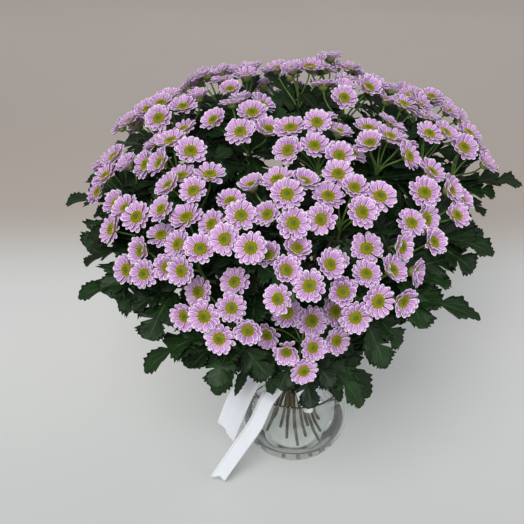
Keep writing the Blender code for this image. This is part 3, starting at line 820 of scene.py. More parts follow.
# %% [markdown]
# ## Leaves
# The leaf is deeply cut into lobes that point forwards, with small teeth on each lobe. Its half
# width is one smooth hump along the blade, pinched at each notch. Points towards the edge are
# also moved forwards, by a part of that half width, and that is what sweeps the lobes. The blade
# folds up a little on both sides of its midrib, and it droops along an arc.

# %% Leaf shape
LEAF_RINGS = 60
LEAF_STALK = 0.15
LEAF_THICKNESS = 0.0006
LOBES, TEETH_PER_LOBE = 3.3, 4
TIP_STARTS, TIP_BLEND = 0.84, 0.12
LEAF_FOLD, LEAF_RIPPLE, LEAF_SWEEP = 0.24, 0.16, 0.60
leaf_across = np.array([1.0, 0.6, 0.0, -0.6, -1.0, -0.6, 0.0, 0.6])
leaf_above = np.array([0.0, 1.0, 1.0, 1.0, 0.0, -1.0, -1.0, -1.0])


def leaf_half_widths(half, shift):
    """Half width along each leaf: a hump, the sine of a power of the way along, pinched at each
    notch by a power of a triangle wave, with teeth from a second wave four times as fast."""
    t = np.linspace(0, 1, LEAF_RINGS)[None]
    blade = np.clip((t - LEAF_STALK) / (1 - LEAF_STALK), 0, 1)
    hump = np.sin(math.pi * blade ** 0.78) ** 0.68
    phase = blade * LOBES + shift[:, None]
    notch = np.abs(2 * (phase % 1) - 1) ** 1.7
    lobe = 1 - notch * np.clip((TIP_STARTS - blade) / TIP_BLEND, 0, 1)
    teeth = np.abs(2 * (TEETH_PER_LOBE * phase % 1) - 1)
    width = half[:, None] * hump * (0.26 + 0.76 * lobe ** 0.85 + 0.26 * (0.5 - teeth))
    return np.maximum(width, 0.0010 * (1 - blade) + 0.0002)


def leaf_grid(paths, ups, half, shift):
    """Leaves as closed rings across a thin section. It rises from the midrib in step with the
    distance out, ripples as a sine along it, and sweeps forwards in step with that distance."""
    tangents = unit(np.gradient(paths, axis=1))
    normals = unit(ups[:, None] - (ups[:, None] * tangents).sum(-1, keepdims=True) * tangents)
    sides = np.cross(tangents, normals)
    width = leaf_half_widths(half, shift)[:, :, None]
    t = np.linspace(0, 1, LEAF_RINGS)[None, :, None]
    fold = LEAF_FOLD * np.abs(leaf_across) * width
    ripple = LEAF_RIPPLE * width * leaf_across ** 2 * np.sin(21 * t + 9 * shift[:, None, None]
                                                        + 1.3 * np.sign(leaf_across))
    skin = 0.5 * LEAF_THICKNESS * leaf_above * np.sqrt(1 - 0.75 * leaf_across ** 2)
    forward = LEAF_SWEEP * np.abs(leaf_across) * width * np.clip((t - 0.2) / 0.1, 0, 1)
    return (paths[:, :, None] + (leaf_across * width)[..., None] * sides[:, :, None]
            + (fold + ripple + skin)[..., None] * normals[:, :, None]
            + forward[..., None] * tangents[:, :, None])


def leaf_piece(name, paths, ups, half, shift, tone, replaced=()):
    """One piece of leaves on their own midribs."""
    grid = leaf_grid(paths, ups, half, shift)
    uv = ring_uv(np.linspace(0, 1, LEAF_RINGS), (leaf_across + 1) / 2)
    count = LEAF_RINGS * len(leaf_across) + 2
    upper = np.append(np.tile((leaf_above >= 0).astype(float), LEAF_RINGS), (1.0, 1.0))
    values = {"upper": np.tile(upper, len(grid)), "tone": np.repeat(tone, count)}
    make_piece(name, grid, paths[:, 0], grid[:, -1].mean(axis=1), LEAF, replaced, uv,
               values)


def drooping(starts, ways, ups, lengths, droop):
    """Midribs as arcs: they leave along their way and turn down by the droop, in radians."""
    t = np.linspace(0, 1, LEAF_RINGS)[None, :, None]
    droop, lengths = droop[:, None, None], lengths[:, None, None]
    return starts[:, None] + lengths / droop * (np.sin(droop * t) * ways[:, None]
                                                - (1 - np.cos(droop * t)) * ups[:, None])


print("a leaf's half width swells and narrows", int(LOBES), "times, with",
      int(LOBES * TEETH_PER_LOBE), "teeth")

# %% [markdown]
# ## Which leaves stay
# A florist strips the leaves that would sit in the water, hide a flower or hang over the ribbon.
# Here the same is done by testing midribs: each is compared with every head at once, in the
# head's own frame, and its tip with the lowest height that is allowed.

# %% Stripping leaves
BEHIND_HEAD, BEFORE_HEAD, BESIDE_HEAD = -0.010, 0.060, 0.024
LOWEST_TIP = 0.205
SIGHT_SLOPE, RIBBON_TOP, RIBBON_LEFT, RIBBON_RIGHT = 0.727, 0.122, -0.120, 0.086


def clear_of_flowers(paths):
    """True for each midrib that stays out of a cylinder round each flower's axis."""
    between = paths[:, LEAF_RINGS // 3::6, None] - HEADS
    ahead = (between * AXES).sum(-1)
    aside = np.linalg.norm(between - ahead[..., None] * AXES, axis=-1)
    inside = (ahead > BEHIND_HEAD) & (ahead < BEFORE_HEAD) & (aside < BESIDE_HEAD)
    return ~inside.any(axis=(1, 2))


def well_placed(paths):
    """True for each midrib that is clear of flowers, not too low, and not over the ribbon. The
    ribbon is seen from the front and above, so the limit falls with a slope towards the front."""
    x, y, z = paths[:, -1].T
    over_ribbon = (z + SIGHT_SLOPE * y < RIBBON_TOP) & (x > RIBBON_LEFT) & (x < RIBBON_RIGHT)
    return (z > LOWEST_TIP) & ~over_ribbon & clear_of_flowers(paths)


print("leaf tips stay above", LOWEST_TIP, "m")

# %% [markdown]
# ## Leaves round every clump
# Leaves fill the gaps between clumps and make the dark ground that the flowers stand out from.
# They start near each clump's fork, fan out by the golden angle and lean from half open to level.
# Only those that are well placed are kept.

# %% Leaves round every clump
LEAVES_PER_CLUMP = 12
for index in range(len(CLUMPS)):
    n = LEAVES_PER_CLUMP
    way = np.tile(FORK_WAYS[index], (n, 1))
    level, upright = frames_from(way.copy())
    turn = TAU * (np.arange(n) + rng.uniform(-0.25, 0.25, n)) / n + index * GOLDEN_ANGLE
    lean = np.radians(rng.uniform(40, 96, n))
    out = np.cos(turn)[:, None] * level + np.sin(turn)[:, None] * upright
    ways = np.cos(lean)[:, None] * way + np.sin(lean)[:, None] * out
    ups = np.cos(lean)[:, None] * -out + np.sin(lean)[:, None] * way
    roll = rng.normal(0, 0.35, n)[:, None]
    ups = np.cos(roll) * ups + np.sin(roll) * np.cross(ways, ups)
    starts = FORKS[index] + way * rng.uniform(0.000, 0.020, n)[:, None]
    lengths = rng.uniform(0.056, 0.076, n)
    paths = drooping(starts, ways, ups, lengths, rng.uniform(0.15, 0.8, n))
    half, shift = lengths * rng.uniform(0.25, 0.33, n), rng.uniform(-0.1, 0.15, n)
    kept = well_placed(paths)
    leaf_piece(f"leaves_{index + 1:02d}", paths[kept], ups[kept], half[kept], shift[kept],
               rng.uniform(0, 0.8, n)[kept])
print(LEAVES_PER_CLUMP * len(CLUMPS), "leaves round the clumps")

# %% [markdown]
# ## Leaves that reach beyond the flowers
# A few large leaves stick out of the dome, so the frame has them as parts of their own. Each gets
# the same place and length here: a clump to grow below, a direction, a rise and a length.

# %% Leaves that reach beyond the flowers
OUTER_HALF_WIDTH, OUTER_ARCH = 0.0205, 0.16
LEAVES = (
    (18, -2, 4, 0.086), (19, -28, 2, 0.078), (21, -16, 2, 0.122), (0, 178, 6, 0.078),
    (3, -166, 0, 0.100), (23, -158, -18, 0.100), (24, -38, -30, 0.090),
)
for index, (clump, azimuth, rise, length) in enumerate(LEAVES):
    way = direction(azimuth, rise)
    side = unit(np.cross(way, (0, 0, 1)))
    up = np.cross(side, way)
    t = np.linspace(0, 1, LEAF_RINGS)[:, None]
    start = FORKS[clump] + way * (FORK_RADIUS + 0.002)
    path = start + way * length * t + up * (OUTER_ARCH * length * np.sin(math.pi * t * 0.9))
    leaf_piece(f"outer_leaf_{index + 1:02d}", path[None], up[None], np.array([OUTER_HALF_WIDTH]),
               np.array([0.02 * index]), np.array([0.3 + 0.08 * index]),
               [f"leaf_{index + 1:02d}"])
print(len(LEAVES), "outer leaves, the longest", max(leaf[3] for leaf in LEAVES), "m")

# %% [markdown]
# ## Leaves on the stems
# Between the tie and the flowers each stem still bears leaves at its joints. They point away from
# the bouquet's middle, turned a little by chance, rise and then droop.

# %% Leaves on the stems
LEAF_SHAPE = 0.29
LEAF_JOINTS = np.array([14, 16, 18, 20, 22, 25, 27, 29, 31])
for index, (path, _) in enumerate(ROUTES):
    joints = path[LEAF_JOINTS]
    n = len(joints)
    outward = unit(joints * (1, 1, 0) - DOME_MIDDLE * (1, 1, 0))
    turn = rng.normal(0, 0.5, n)
    outward = np.stack([outward[:, 0] * np.cos(turn) - outward[:, 1] * np.sin(turn),
                        outward[:, 0] * np.sin(turn) + outward[:, 1] * np.cos(turn),
                        np.zeros(n)], axis=1)
    rise = np.radians(rng.uniform(5, 35, n))[:, None]
    ways = np.cos(rise) * outward + np.sin(rise) * (0, 0, 1)
    ups = -np.sin(rise) * outward + np.cos(rise) * (0, 0, 1)
    lengths = rng.uniform(0.060, 0.085, n)
    paths = drooping(joints, ways, ups, lengths, rng.uniform(0.2, 0.8, n))
    shift, tone = rng.uniform(-0.1, 0.15, n), rng.uniform(0, 0.6, n)
    kept = well_placed(paths)
    if kept.any():
        leaf_piece(f"stem_leaves_{index + 1:02d}", paths[kept], ups[kept],
                   lengths[kept] * LEAF_SHAPE, shift[kept], tone[kept])
print(len(LEAF_JOINTS) * len(ROUTES), "leaves on the stems at most")

# %% [markdown]
# ## Leaves over the bowl's mouth
# The lowest leaves hang down in front of the bowl, beside the ribbon. They are few and each is
# seen, so each has its own bend: where it starts, the point it is drawn to, where its tip hangs,
# its half width and how pale it is.

# %% Leaves that hang over the bowl's mouth
HANGING = (
    ((-0.012, -0.028, 0.207), (-0.030, -0.055, 0.208), (-0.0354, -0.060, 0.1472), 0.0115, 0.9),
    ((-0.030, -0.028, 0.245), (-0.078, -0.078, 0.262), (-0.1049, -0.100, 0.1916), 0.0230, 1.0),
    ((-0.035, -0.030, 0.250), (-0.090, -0.075, 0.270), (-0.1430, -0.100, 0.2479), 0.0210, 0.7),
    ((-0.030, -0.035, 0.240), (-0.060, -0.080, 0.245), (-0.0804, -0.090, 0.1797), 0.0090, 0.5),
    ((0.014, -0.022, 0.215), (0.062, -0.052, 0.222), (0.0929, -0.070, 0.1556), 0.0220, 0.6),
    ((0.012, -0.026, 0.205), (0.044, -0.058, 0.208), (0.0566, -0.070, 0.1482), 0.0130, 0.5),
    ((0.022, -0.018, 0.225), (0.080, -0.038, 0.238), (0.1171, -0.050, 0.1903), 0.0170, 0.7),
    ((0.008, -0.030, 0.195), (0.018, -0.050, 0.192), (0.0226, -0.060, 0.1565), 0.0080, 0.4),
)
starts, middles, ends = (np.array([row[i] for row in HANGING])[:, None] for i in range(3))
paths = bend(starts, middles, ends, LEAF_RINGS)
half, tone = (np.array([row[i] for row in HANGING]) for i in (3, 4))
towards_front = np.tile(unit(np.array([-0.1, -0.62, 0.78])), (len(HANGING), 1))
leaf_piece("hanging_leaves", paths, towards_front, half, 0.03 * np.arange(len(HANGING)), tone)
print(len(HANGING), "hanging leaves")

# %% [markdown]
# ## The bowl and its water
# The bowl is blown soda-lime glass: a ball of glass opened at the top, with a flared lip that was
# melted round and a thick floor. It is one profile turned about the upright, down the outside and
# back up the inside. First come the two clear materials. Both are smooth all through, so what
# tells them apart is how much each one bends light.

# %% Glass and water materials
def clear_material(name, colour, ior):
    """A clear, smooth body. The eye sees what is behind it bent, sharp reflections, and a swirl
    36 mm across. Light on its way to other things goes straight through, so the stems are lit."""
    mat, tree = new_material(name)
    place = add_node(tree, "ShaderNodeTexCoord").outputs["Object"]
    swirl = add_node(tree, "ShaderNodeTexNoise", {"Scale": 28.0, "Detail": 1.0}, {0: place})
    bump = add_node(tree, "ShaderNodeBump", {"Strength": 0.06, "Distance": 0.0004},
                    {"Height": swirl.outputs[0]})
    shader = add_node(tree, "ShaderNodeBsdfPrincipled",
                      {"Base Color": linear(colour), "Roughness": 0.0, "IOR": ior,
                       "Transmission Weight": 1.0}, {"Normal": bump.outputs[0]})
    path = add_node(tree, "ShaderNodeLightPath")
    lighting = maths(tree, "MAXIMUM", path.outputs["Is Shadow Ray"],
                     path.outputs["Is Diffuse Ray"])
    open_way = add_node(tree, "ShaderNodeBsdfTransparent", {"Color": linear(colour)})
    finish_material(tree, add_node(tree, "ShaderNodeMixShader", links={
        0: lighting, 1: shader.outputs[0], 2: open_way.outputs[0]}))
    return mat


GLASS = clear_material("blown soda-lime glass", "#fdfffe", 1.5)
WATER = clear_material("vase water", "#ffffff", 1.333)
print("clear materials:", [m.name for m in (GLASS, WATER)])

# %% [markdown]
# ## Profiles turned about the upright
# Blown glass is round, so a profile and one turn give the whole of it. A ball with its top cut
# off and thickened would do too, but a profile gives the thick floor and the thin lip exactly.
# The body is part of a ball, and the neck is a cubic curve, because that leaves the ball without
# a kink and still ends at the lip's own slope.

# %% Turned shapes
FOOT_RADIUS, SHOULDER_ANGLE = 0.034, math.radians(32)
LIP_RADIUS, LIP_HEIGHT, LIP_WALL, WATER_LEVEL = 0.071, 0.138, 0.0010, 0.050
NECK_LEAD, LIP_LEAD = 0.011, (0.008, 0.007)
TURNED_STEPS = 96


def ball_arc(radius, start, end, steps):
    """Points of a circle round the bowl's middle, as (radius, height), between two angles."""
    angle = np.linspace(start, end, steps)
    return np.stack([radius * np.cos(angle), BOWL_MIDDLE + radius * np.sin(angle)], axis=1)


def neck(inset, steps):
    """The flared neck: a cubic curve that leaves the shoulder along the ball and flares to the
    lip. The inset is 0 outside and the wall's thickness inside."""
    start = ball_arc(BOWL_RADIUS - inset, SHOULDER_ANGLE, SHOULDER_ANGLE, 1)
    end = np.array([[LIP_RADIUS - LIP_WALL * inset / WALL, LIP_HEIGHT]])
    leave = np.array([[-math.sin(SHOULDER_ANGLE), math.cos(SHOULDER_ANGLE)]]) * NECK_LEAD
    return cubic(start, leave, np.array([LIP_LEAD]), end, steps)[0, 1:]


def turned_piece(name, profile, low, high, material, replaced):
    """A profile of (radius, height) turned about the upright, closed by a pole at each end. A
    point is the radius times the cosine and the sine of its angle, at the profile's height."""
    angle = TAU * np.arange(TURNED_STEPS) / TURNED_STEPS
    radius, height = profile[:, 0, None], profile[:, 1, None]
    grid = np.stack(np.broadcast_arrays(radius * np.cos(angle), radius * np.sin(angle), height),
                    axis=-1)[None]
    make_piece(name, grid, np.array([[0.0, 0.0, low]]), np.array([[0.0, 0.0, high]]), material,
               replaced)


print("the neck rises", round((LIP_HEIGHT - neck(0.0, 12)[0, 1]) * 1000), "mm to the lip")

# %% [markdown]
# ## Bowl and water
# The glass runs from the flat foot up the outside, round the lip and down the inside to a thick
# floor. The water is a body of its own. It reaches a hair into the glass, so that no film of air
# shows between them, and it creeps up the wall in a small curve.

# %% Bowl and water
CORNER_TURN, OVERLAP = 0.05, 0.0002
foot = -math.acos(FOOT_RADIUS / BOWL_RADIUS)
outside = ball_arc(BOWL_RADIUS, foot + 0.01, SHOULDER_ANGLE, 30)
rounding = np.array([[0.030, 0.0], [0.0335, 0.0001]])
angle = np.linspace(0, math.pi, 7)[1:-1]
lip = np.stack([LIP_RADIUS - LIP_WALL / 2 + LIP_WALL / 2 * np.cos(angle),
                LIP_HEIGHT + LIP_WALL / 2 * np.sin(angle)], axis=1)
inner_radius = BOWL_RADIUS - WALL
floor_angle = math.asin((FLOOR - BOWL_MIDDLE) / inner_radius)
inside = np.concatenate([ball_arc(inner_radius, floor_angle + CORNER_TURN, SHOULDER_ANGLE, 26),
                         neck(WALL, 12)])[::-1]
inner_floor = np.array([[inside[-1, 0] - 0.005, FLOOR + 0.0004], [0.02, FLOOR]])
profile = np.concatenate([rounding, outside, neck(0.0, 12), lip, inside, inner_floor])
turned_piece("jar_glass", profile, 0.0, FLOOR, GLASS, ["glass_bowl"])

wet_radius = inner_radius + OVERLAP
level_angle = math.asin((WATER_LEVEL + 0.0016 - BOWL_MIDDLE) / wet_radius)
wall = ball_arc(wet_radius, floor_angle + CORNER_TURN, level_angle, 20)
climb = np.array([[wall[-1, 0] - 0.0006, WATER_LEVEL + 0.0008],
                  [wall[-1, 0] - 0.0016, WATER_LEVEL + 0.0003],
                  [wall[-1, 0] - 0.0040, WATER_LEVEL], [0.04, WATER_LEVEL]])
bottom = np.array([[0.02, FLOOR - OVERLAP], [wall[0, 0] - 0.0052, FLOOR + OVERLAP]])
turned_piece("jar_water", np.concatenate([bottom, wall, climb]), FLOOR - OVERLAP, WATER_LEVEL,
             WATER, ["water"])
print("bowl profile points:", len(profile))

# %% [markdown]
# ## The satin ribbon
# A 30 mm satin ribbon is wound round the stems, knotted at the front, and its ends are left long:
# one loop hangs in the bowl's mouth, one tail hangs down the left, and one crosses the lip and
# lies down to the table. Satin shines along one way, because its threads float over each other,
# and its edges are woven tighter. Both are painted across the ribbon's own width; the shine is
# painted as faint light and dark streaks along the colour, a painted sheen.

# %% Satin material
def satin_material():
    """Polyester satin, woven with its threads floating lengthwise. The eye sees a stretched sheen
    along the ribbon, a faint grain of threads and a brighter woven edge. The noise that makes the
    grain also paints faint light and dark streaks along the colour, a painted sheen. Real threads
    are about 0.1 mm apart, too fine to show, so the noise makes one every 0.17 mm of the 30 mm
    width."""
    mat, tree = new_material("white polyester satin ribbon")
    uv, across, _ = uv_axes(tree)
    stretch = add_node(tree, "ShaderNodeMapping", {"Scale": (60.0, 1.5, 1.0)}, {0: uv})
    thread_grain_and_painted_sheen = add_node(tree, "ShaderNodeTexNoise", {"Scale": 3.0, "Detail": 3.0},
                      {0: stretch.outputs[0]}).outputs[0]
    off_middle = maths(tree, "ABSOLUTE", maths(tree, "MULTIPLY_ADD", across, 2.0, -1.0))
    selvedge = ramp_between(tree, off_middle, 0.90, 0.95)
    # Painted sheen: the thread noise makes faint light and dark streaks along the ribbon's colour.
    colour = blend_colours(tree, maths(tree, "MULTIPLY", thread_grain_and_painted_sheen, 0.5), linear("#f2f2f5"),
                           linear("#dfe0e8"))
    edged = blend_colours(tree, maths(tree, "MULTIPLY", selvedge, 0.6), colour,
                          linear("#fbfbfc"))
    height = maths(tree, "ADD", maths(tree, "MULTIPLY", thread_grain_and_painted_sheen, 0.5), selvedge)
    bump = add_node(tree, "ShaderNodeBump", {"Strength": 0.25, "Distance": 0.0003},
                    {"Height": height})
    shader = add_node(tree, "ShaderNodeBsdfPrincipled",
                      {"Roughness": 0.34, "IOR": 1.5, "Sheen Weight": 0.35,
                       "Sheen Roughness": 0.3, "Anisotropic": 0.4,
                       "Subsurface Weight": 0.12, "Subsurface Scale": 0.002},
                      {"Base Color": edged, "Normal": bump.outputs[0]})
    finish_material(tree, shader)
    return mat


SATIN = satin_material()
print("made", SATIN.name, "with", len(SATIN.node_tree.nodes), "nodes")

# %% [markdown]
# ## Ribbon strips
# Each part is a strip carried along a smooth curve, with a section that is folded or wavy across.
# A simulated cloth could hang like this too, but a ribbon whose bends are listed keeps the bends
# it was given. Its thickness is set square to the section, half to each side.

# %% Ribbon strips
RIBBON_THICKNESS = 0.0005
SECTION_POINTS = 21


def smooth_curve(knots, steps):
    """The smooth curve through all the knots: on each stretch, a cubic whose slope at a knot is
    half the step from the knot before it to the knot after it."""
    knots = np.concatenate([knots[:1], knots, knots[-1:]])
    t = np.linspace(0, len(knots) - 3, steps)
    k = np.minimum(t.astype(int), len(knots) - 4)
    a, b, c, d = knots[k], knots[k + 1], knots[k + 2], knots[k + 3]
    t = (t - k)[:, None]
    return 0.5 * (2 * b + (c - a) * t + (2 * a - 5 * b + 4 * c - d) * t * t
                  + (3 * b - a - 3 * c + d) * t ** 3)


def strip_grid(middle, halves, section, end_cut):
    """A closed strip: (ring, point round). section gives, at each point of the middle line, how
    far across (-1 to 1) and how far out (in metres) each point of the ribbon's width lies."""
    across, out = section
    tangents = unit(np.gradient(middle, axis=0))
    normals = unit(np.cross(halves, tangents))
    steps = len(middle)
    cut = end_cut[None, :] * (np.linspace(0, 1, steps) ** 9)[:, None]
    sheet = (middle[:, None] + across[..., None] * halves[:, None] + out[..., None]
             * normals[:, None] - cut[..., None] * tangents[:, None])
    skin = np.cross(np.gradient(sheet, axis=1), np.gradient(sheet, axis=0))
    skin = unit(skin) * RIBBON_THICKNESS / 2
    return np.concatenate([sheet + skin, (sheet - skin)[:, ::-1]], axis=1)[None]


def ribbon_piece(name, knots, halves, steps, section, end_cut, replaced):
    """A ribbon strip of satin, as long as its middle line."""
    middle = smooth_curve(np.array(knots), steps)
    across = smooth_curve(np.array(halves), steps)
    grid = strip_grid(middle, across, section(steps), end_cut)
    u = np.linspace(0, 1, SECTION_POINTS)
    uv = ring_uv(np.linspace(0, 1, steps), np.concatenate([u, u[::-1]]))
    piece = make_piece(name, grid, grid[:, 0].mean(axis=1), grid[:, -1].mean(axis=1), SATIN,
                       replaced, uv)


u = np.linspace(-1, 1, SECTION_POINTS)[None]


def wavy(steps, waves, height, turn):
    """Soft lengthwise waves: a sine across the ribbon whose phase drifts as it runs along, and
    whose height grows from both ends to the middle."""
    t = np.linspace(0, 1, steps)[:, None]
    return np.broadcast_to(u, (steps, SECTION_POINTS)), height * np.sin(
        math.pi * waves * u + turn * t) * (0.35 + 0.65 * np.sin(math.pi * t) ** 0.5)


def folded(steps, gap):
    """Folded lengthwise, a little off the middle: out to the fold, round it, and back, with the
    layers a gap apart. The gap widens and narrows, and the whole drifts, as sines of the run."""
    t = np.linspace(0, 1, steps)[:, None]
    from_fold = u + 0.12
    across = np.clip(1 - 2 * np.abs(from_fold), -1, 1)
    out = gap * np.tanh(3 * from_fold) * (1 + 0.5 * np.sin(5 * t)) + 0.0010 * np.sin(9 * t)
    return np.broadcast_to(across, out.shape), out


print("a ribbon's section has", 2 * SECTION_POINTS, "points")

# %% [markdown]
# ## Loop and tails
# Each part has its own knots to pass through, in metres, and at each knot the half of its width,
# as a direction and a length. One end is cut as a swallow tail, as florists do to stop fraying,
# and one is cut on a slant.

# %% Ribbon pieces
LOOP = ((0.0005, -0.0335, 0.1475), (0.0065, -0.0385, 0.140), (0.0155, -0.0435, 0.126),
        (0.0245, -0.0465, 0.1135), (0.0275, -0.0405, 0.115), (0.0205, -0.0345, 0.130),
        (0.0085, -0.0315, 0.1465))
LOOP_ACROSS = ((0.003, 0.001, 0.002), (0.007, 0.001, 0.005), (0.0105, 0.0015, 0.008),
               (0.0118, 0.002, 0.010), (0.0115, 0.002, 0.010), (0.009, 0.001, 0.007),
               (0.004, 0.001, 0.003))
TAIL_LEFT = ((-0.0240, -0.0255, 0.152), (-0.036, -0.027, 0.166), (-0.053, -0.031, 0.165),
             (-0.073, -0.044, 0.138), (-0.087, -0.055, 0.105), (-0.099, -0.062, 0.070))
TAIL_LEFT_ACROSS = ((0.001, -0.004, 0.002), (0.006, -0.008, 0.002), (0.011, -0.008, -0.001),
                    (0.0145, -0.005, -0.003), (0.0145, -0.005, -0.003),
                    (0.0135, -0.006, -0.002))
TAIL_FRONT = ((-0.0178, -0.0362, 0.147), (-0.027, -0.050, 0.150), (-0.040, -0.069, 0.148),
              (-0.0545, -0.083, 0.119), (-0.080, -0.087, 0.070), (-0.110, -0.087, 0.0085))
TAIL_FRONT_ACROSS = ((0.003, -0.002, -0.001), (0.006, -0.004, -0.004),
                     (0.0075, -0.0045, -0.0055), (0.0085, -0.0035, -0.005),
                     (0.009, -0.003, -0.0045), (0.009, -0.003, -0.0045))
place_across = folded(2, 0.0)[0][0]  # where each point lies on the folded width, -1 to 1
swallow_tail = 0.011 * (1 - np.abs(place_across)) + 0.004 * (place_across + 1)
slanted = 0.022 * np.linspace(1, 0, SECTION_POINTS)
straight = np.zeros(SECTION_POINTS)
ribbon_piece("satin_loop", LOOP, LOOP_ACROSS, 70, lambda n: wavy(n, 1.6, 0.0028, 2.0), straight,
             ["ribbon_loop"])
ribbon_piece("satin_tail_left", TAIL_LEFT, TAIL_LEFT_ACROSS, 60,
             lambda n: wavy(n, 1.3, 0.0022, 3.0), slanted,
             ["ribbon_tail_left"])
ribbon_piece("satin_tail_front", TAIL_FRONT, TAIL_FRONT_ACROSS, 80, lambda n: folded(n, 0.0012),
             swallow_tail, ["ribbon_tail_front"])

# %% [markdown]
# ## The turns round the stems
# The ribbon goes a little more than once round the tied stems, gathered in its width. Each turn
# lies on the one below, so it is a spiral that widens by more than two thicknesses a turn.

# %% Ribbon round the stems
BAND_RADIUS, BAND_HALF, BAND_TURNS, BAND_GROWTH = 0.0198, 0.0105, 1.35, 0.0012
steps = 120
turn = np.linspace(0, BAND_TURNS * TAU, steps) + math.radians(-100)
radius = BAND_RADIUS + BAND_GROWTH * turn / TAU
around = np.stack([radius * np.cos(turn), radius * np.sin(turn),
                   TIE_HEIGHT + 0.0025 * np.sin(turn)], axis=1)
halves = np.broadcast_to((0.0, 0.0, BAND_HALF), around.shape)
ribbon_piece("satin_band", around, halves, steps, lambda n: wavy(n, 5.0, 0.0012, 4.0), straight,
             ["ribbon_band"])

# %% [markdown]
# ## The knot
# A knot in satin is a small pillow with pleats that run over it. It could be tied in simulation,
# but so little of it shows that a rounded bulge with slanting pleats gives the same look.

# %% The knot
KNOT, KNOT_TURN = np.array([-0.0125, -0.0255, 0.148]), math.radians(-28)
HALF_ALONG, HALF_DEEP, HALF_HIGH = 0.0105, 0.0062, 0.0092
t = np.linspace(0.06, 0.94, 22)
theta = TAU * np.arange(36) / 36
pleats = 1 + 0.16 * np.sin(5 * theta + 6 * t[:, None]) + 0.05 * np.sin(11 * theta)
bulge = (np.sin(math.pi * t) ** 0.55)[:, None] * pleats
along_knot = np.broadcast_to(HALF_ALONG * (2 * t[:, None] - 1), bulge.shape)
knot = np.stack([HALF_DEEP * bulge * np.cos(theta), along_knot,
                 HALF_HIGH * bulge * np.sin(theta)], axis=-1)
turning = np.array([[math.sin(KNOT_TURN), math.cos(KNOT_TURN), 0.0],
                    [-math.cos(KNOT_TURN), math.sin(KNOT_TURN), 0.0], [0.0, 0.0, 1.0]])
knot = (knot @ turning + KNOT)[None]
knot_piece = make_piece("satin_knot", knot, knot[:, 0].mean(axis=1), knot[:, -1].mean(axis=1),
                        SATIN, ["ribbon_knot"], ring_uv(t, theta / TAU))
print("the knot is", round(2000 * HALF_ALONG), "mm long")

# %% [markdown]
# ## Floor
# The floor is pale and plain, and it turns up into a wall far behind. One strip, bent through a
# quarter circle, makes both, as a roll of studio paper does, so no line shows where they meet.

# %% Studio floor
def studio_material():
    """Matt paper, off a roll. The eye sees a plain floor with faint clouds a third of a metre
    across.
    Its colour is painted darker at the front and darker and warmer behind the bowl than round it:
    painted shade where the light is weaker."""
    mat, tree = new_material("matt studio paper")
    place = add_node(tree, "ShaderNodeTexCoord").outputs["Object"]
    depth = add_node(tree, "ShaderNodeSeparateXYZ", links={0: place}).outputs[1]
    clouds = add_node(tree, "ShaderNodeTexNoise", {"Scale": 3.0, "Detail": 3.0}, {0: place})
    # Painted shade: the bands below make the floor darker at the front, brightest round the bowl,
    # and darker and warmer behind it.
    near = blend_colours(tree, clouds.outputs[0], linear("#c3c6c2"), linear("#cacbc7"))
    middle = blend_colours(tree, clouds.outputs[0], linear("#e6e9e5"), linear("#eceae6"))
    beyond = blend_colours(tree, clouds.outputs[0], linear("#ded4ca"), linear("#e6dcd2"))
    far = blend_colours(tree, ramp_between(tree, depth, 0.8, 1.9), linear("#cabfb5"), beyond)
    front = blend_colours(tree, ramp_between(tree, depth, -0.25, 0.30), near, middle)
    colour = blend_colours(tree, ramp_between(tree, depth, 0.36, 0.66), front, far)
    shader = add_node(tree, "ShaderNodeBsdfPrincipled", {"Roughness": 0.75, "IOR": 1.45},
                      {"Base Color": colour})
    finish_material(tree, shader)
    return mat


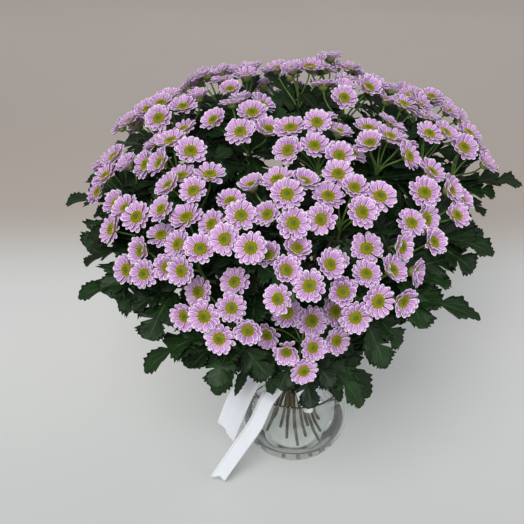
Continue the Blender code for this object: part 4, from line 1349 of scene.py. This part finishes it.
FLOOR_FRONT, COVE_START, COVE_RADIUS, WALL_TOP, HALF_WIDTH = -4.0, 3.2, 0.60, 2.6, 5.0
turn_up = np.linspace(0, math.pi / 2, 24)
run = np.concatenate([[FLOOR_FRONT], COVE_START + COVE_RADIUS * np.sin(turn_up),
                      [COVE_START + COVE_RADIUS]])
rise = np.concatenate([[0.0], COVE_RADIUS * (1 - np.cos(turn_up)), [WALL_TOP]])
span = np.array([-HALF_WIDTH, HALF_WIDTH])
y, x = np.meshgrid(run, span, indexing="ij")
z = np.repeat(rise[:, None], 2, axis=1)
mesh = bpy.data.meshes.new("studio_floor")
faces = [(2 * i, 2 * i + 1, 2 * i + 3, 2 * i + 2) for i in range(len(run) - 1)]
mesh.from_pydata(np.stack([x, y, z], axis=-1).reshape(-1, 3).tolist(), [], faces)
mesh.shade_smooth()
mesh.materials.append(studio_material())
floor = bpy.data.objects.new("studio_floor", mesh)
scene.collection.objects.link(floor)
print("floor and wall from", len(faces), "faces")

# %% [markdown]
# ## Lights
# One large lamp above and to the left gives soft shadows, a weaker one at the right fills them,
# and the world gives the rest.

# %% Lights
def area_light(name, place, target, size, power, colour):
    """A square soft light that looks at a point."""
    light = bpy.data.lights.new(name, "AREA")
    light.energy, light.size, light.color = power, size, linear(colour)[:3]
    lamp = bpy.data.objects.new(name, light)
    scene.collection.objects.link(lamp)
    aim(lamp, place, target)


def aim(thing, place, target):
    """Puts a lamp or camera at a place, looking at a target, upright."""
    place, target = np.array(place), np.array(target)
    back = unit(place - target)
    side = unit(np.cross((0.0, 0.0, 1.0), back))
    up = np.cross(back, side)
    rows = np.eye(4)
    rows[:3] = np.stack([side, up, back, place], axis=1)
    thing.matrix_world = Matrix(rows.tolist())


area_light("soft_key", (-0.5, -1.5, 2.0), (0, 0, 0.30), 1.2, 46.0, "#fcfdff")
area_light("soft_fill", (1.6, -1.2, 1.2), (0, 0, 0.20), 1.6, 14.0, "#f6f8ff")
world = bpy.data.worlds.new("studio air")
world.use_nodes = True
world.node_tree.nodes["Background"].inputs[0].default_value = linear("#e6e8ec")
world.node_tree.nodes["Background"].inputs[1].default_value = 0.42
scene.world = world

# %% [markdown]
# ## Camera
# The bouquet is best seen a little from above, from the side where the ribbon is tied. A longish
# lens from about a metre away keeps its shape true.

# %% Camera
camera = bpy.data.cameras.new("camera")
camera.lens, camera.sensor_width = 54.96, 36.0
view = bpy.data.objects.new("camera", camera)
scene.collection.objects.link(view)
aim(view, (-0.046, -0.813, 0.916), (-0.046, 0.0, 0.325))
scene.camera = view
scene.view_settings.view_transform = "Standard"
print("camera lens:", camera.lens, "mm")
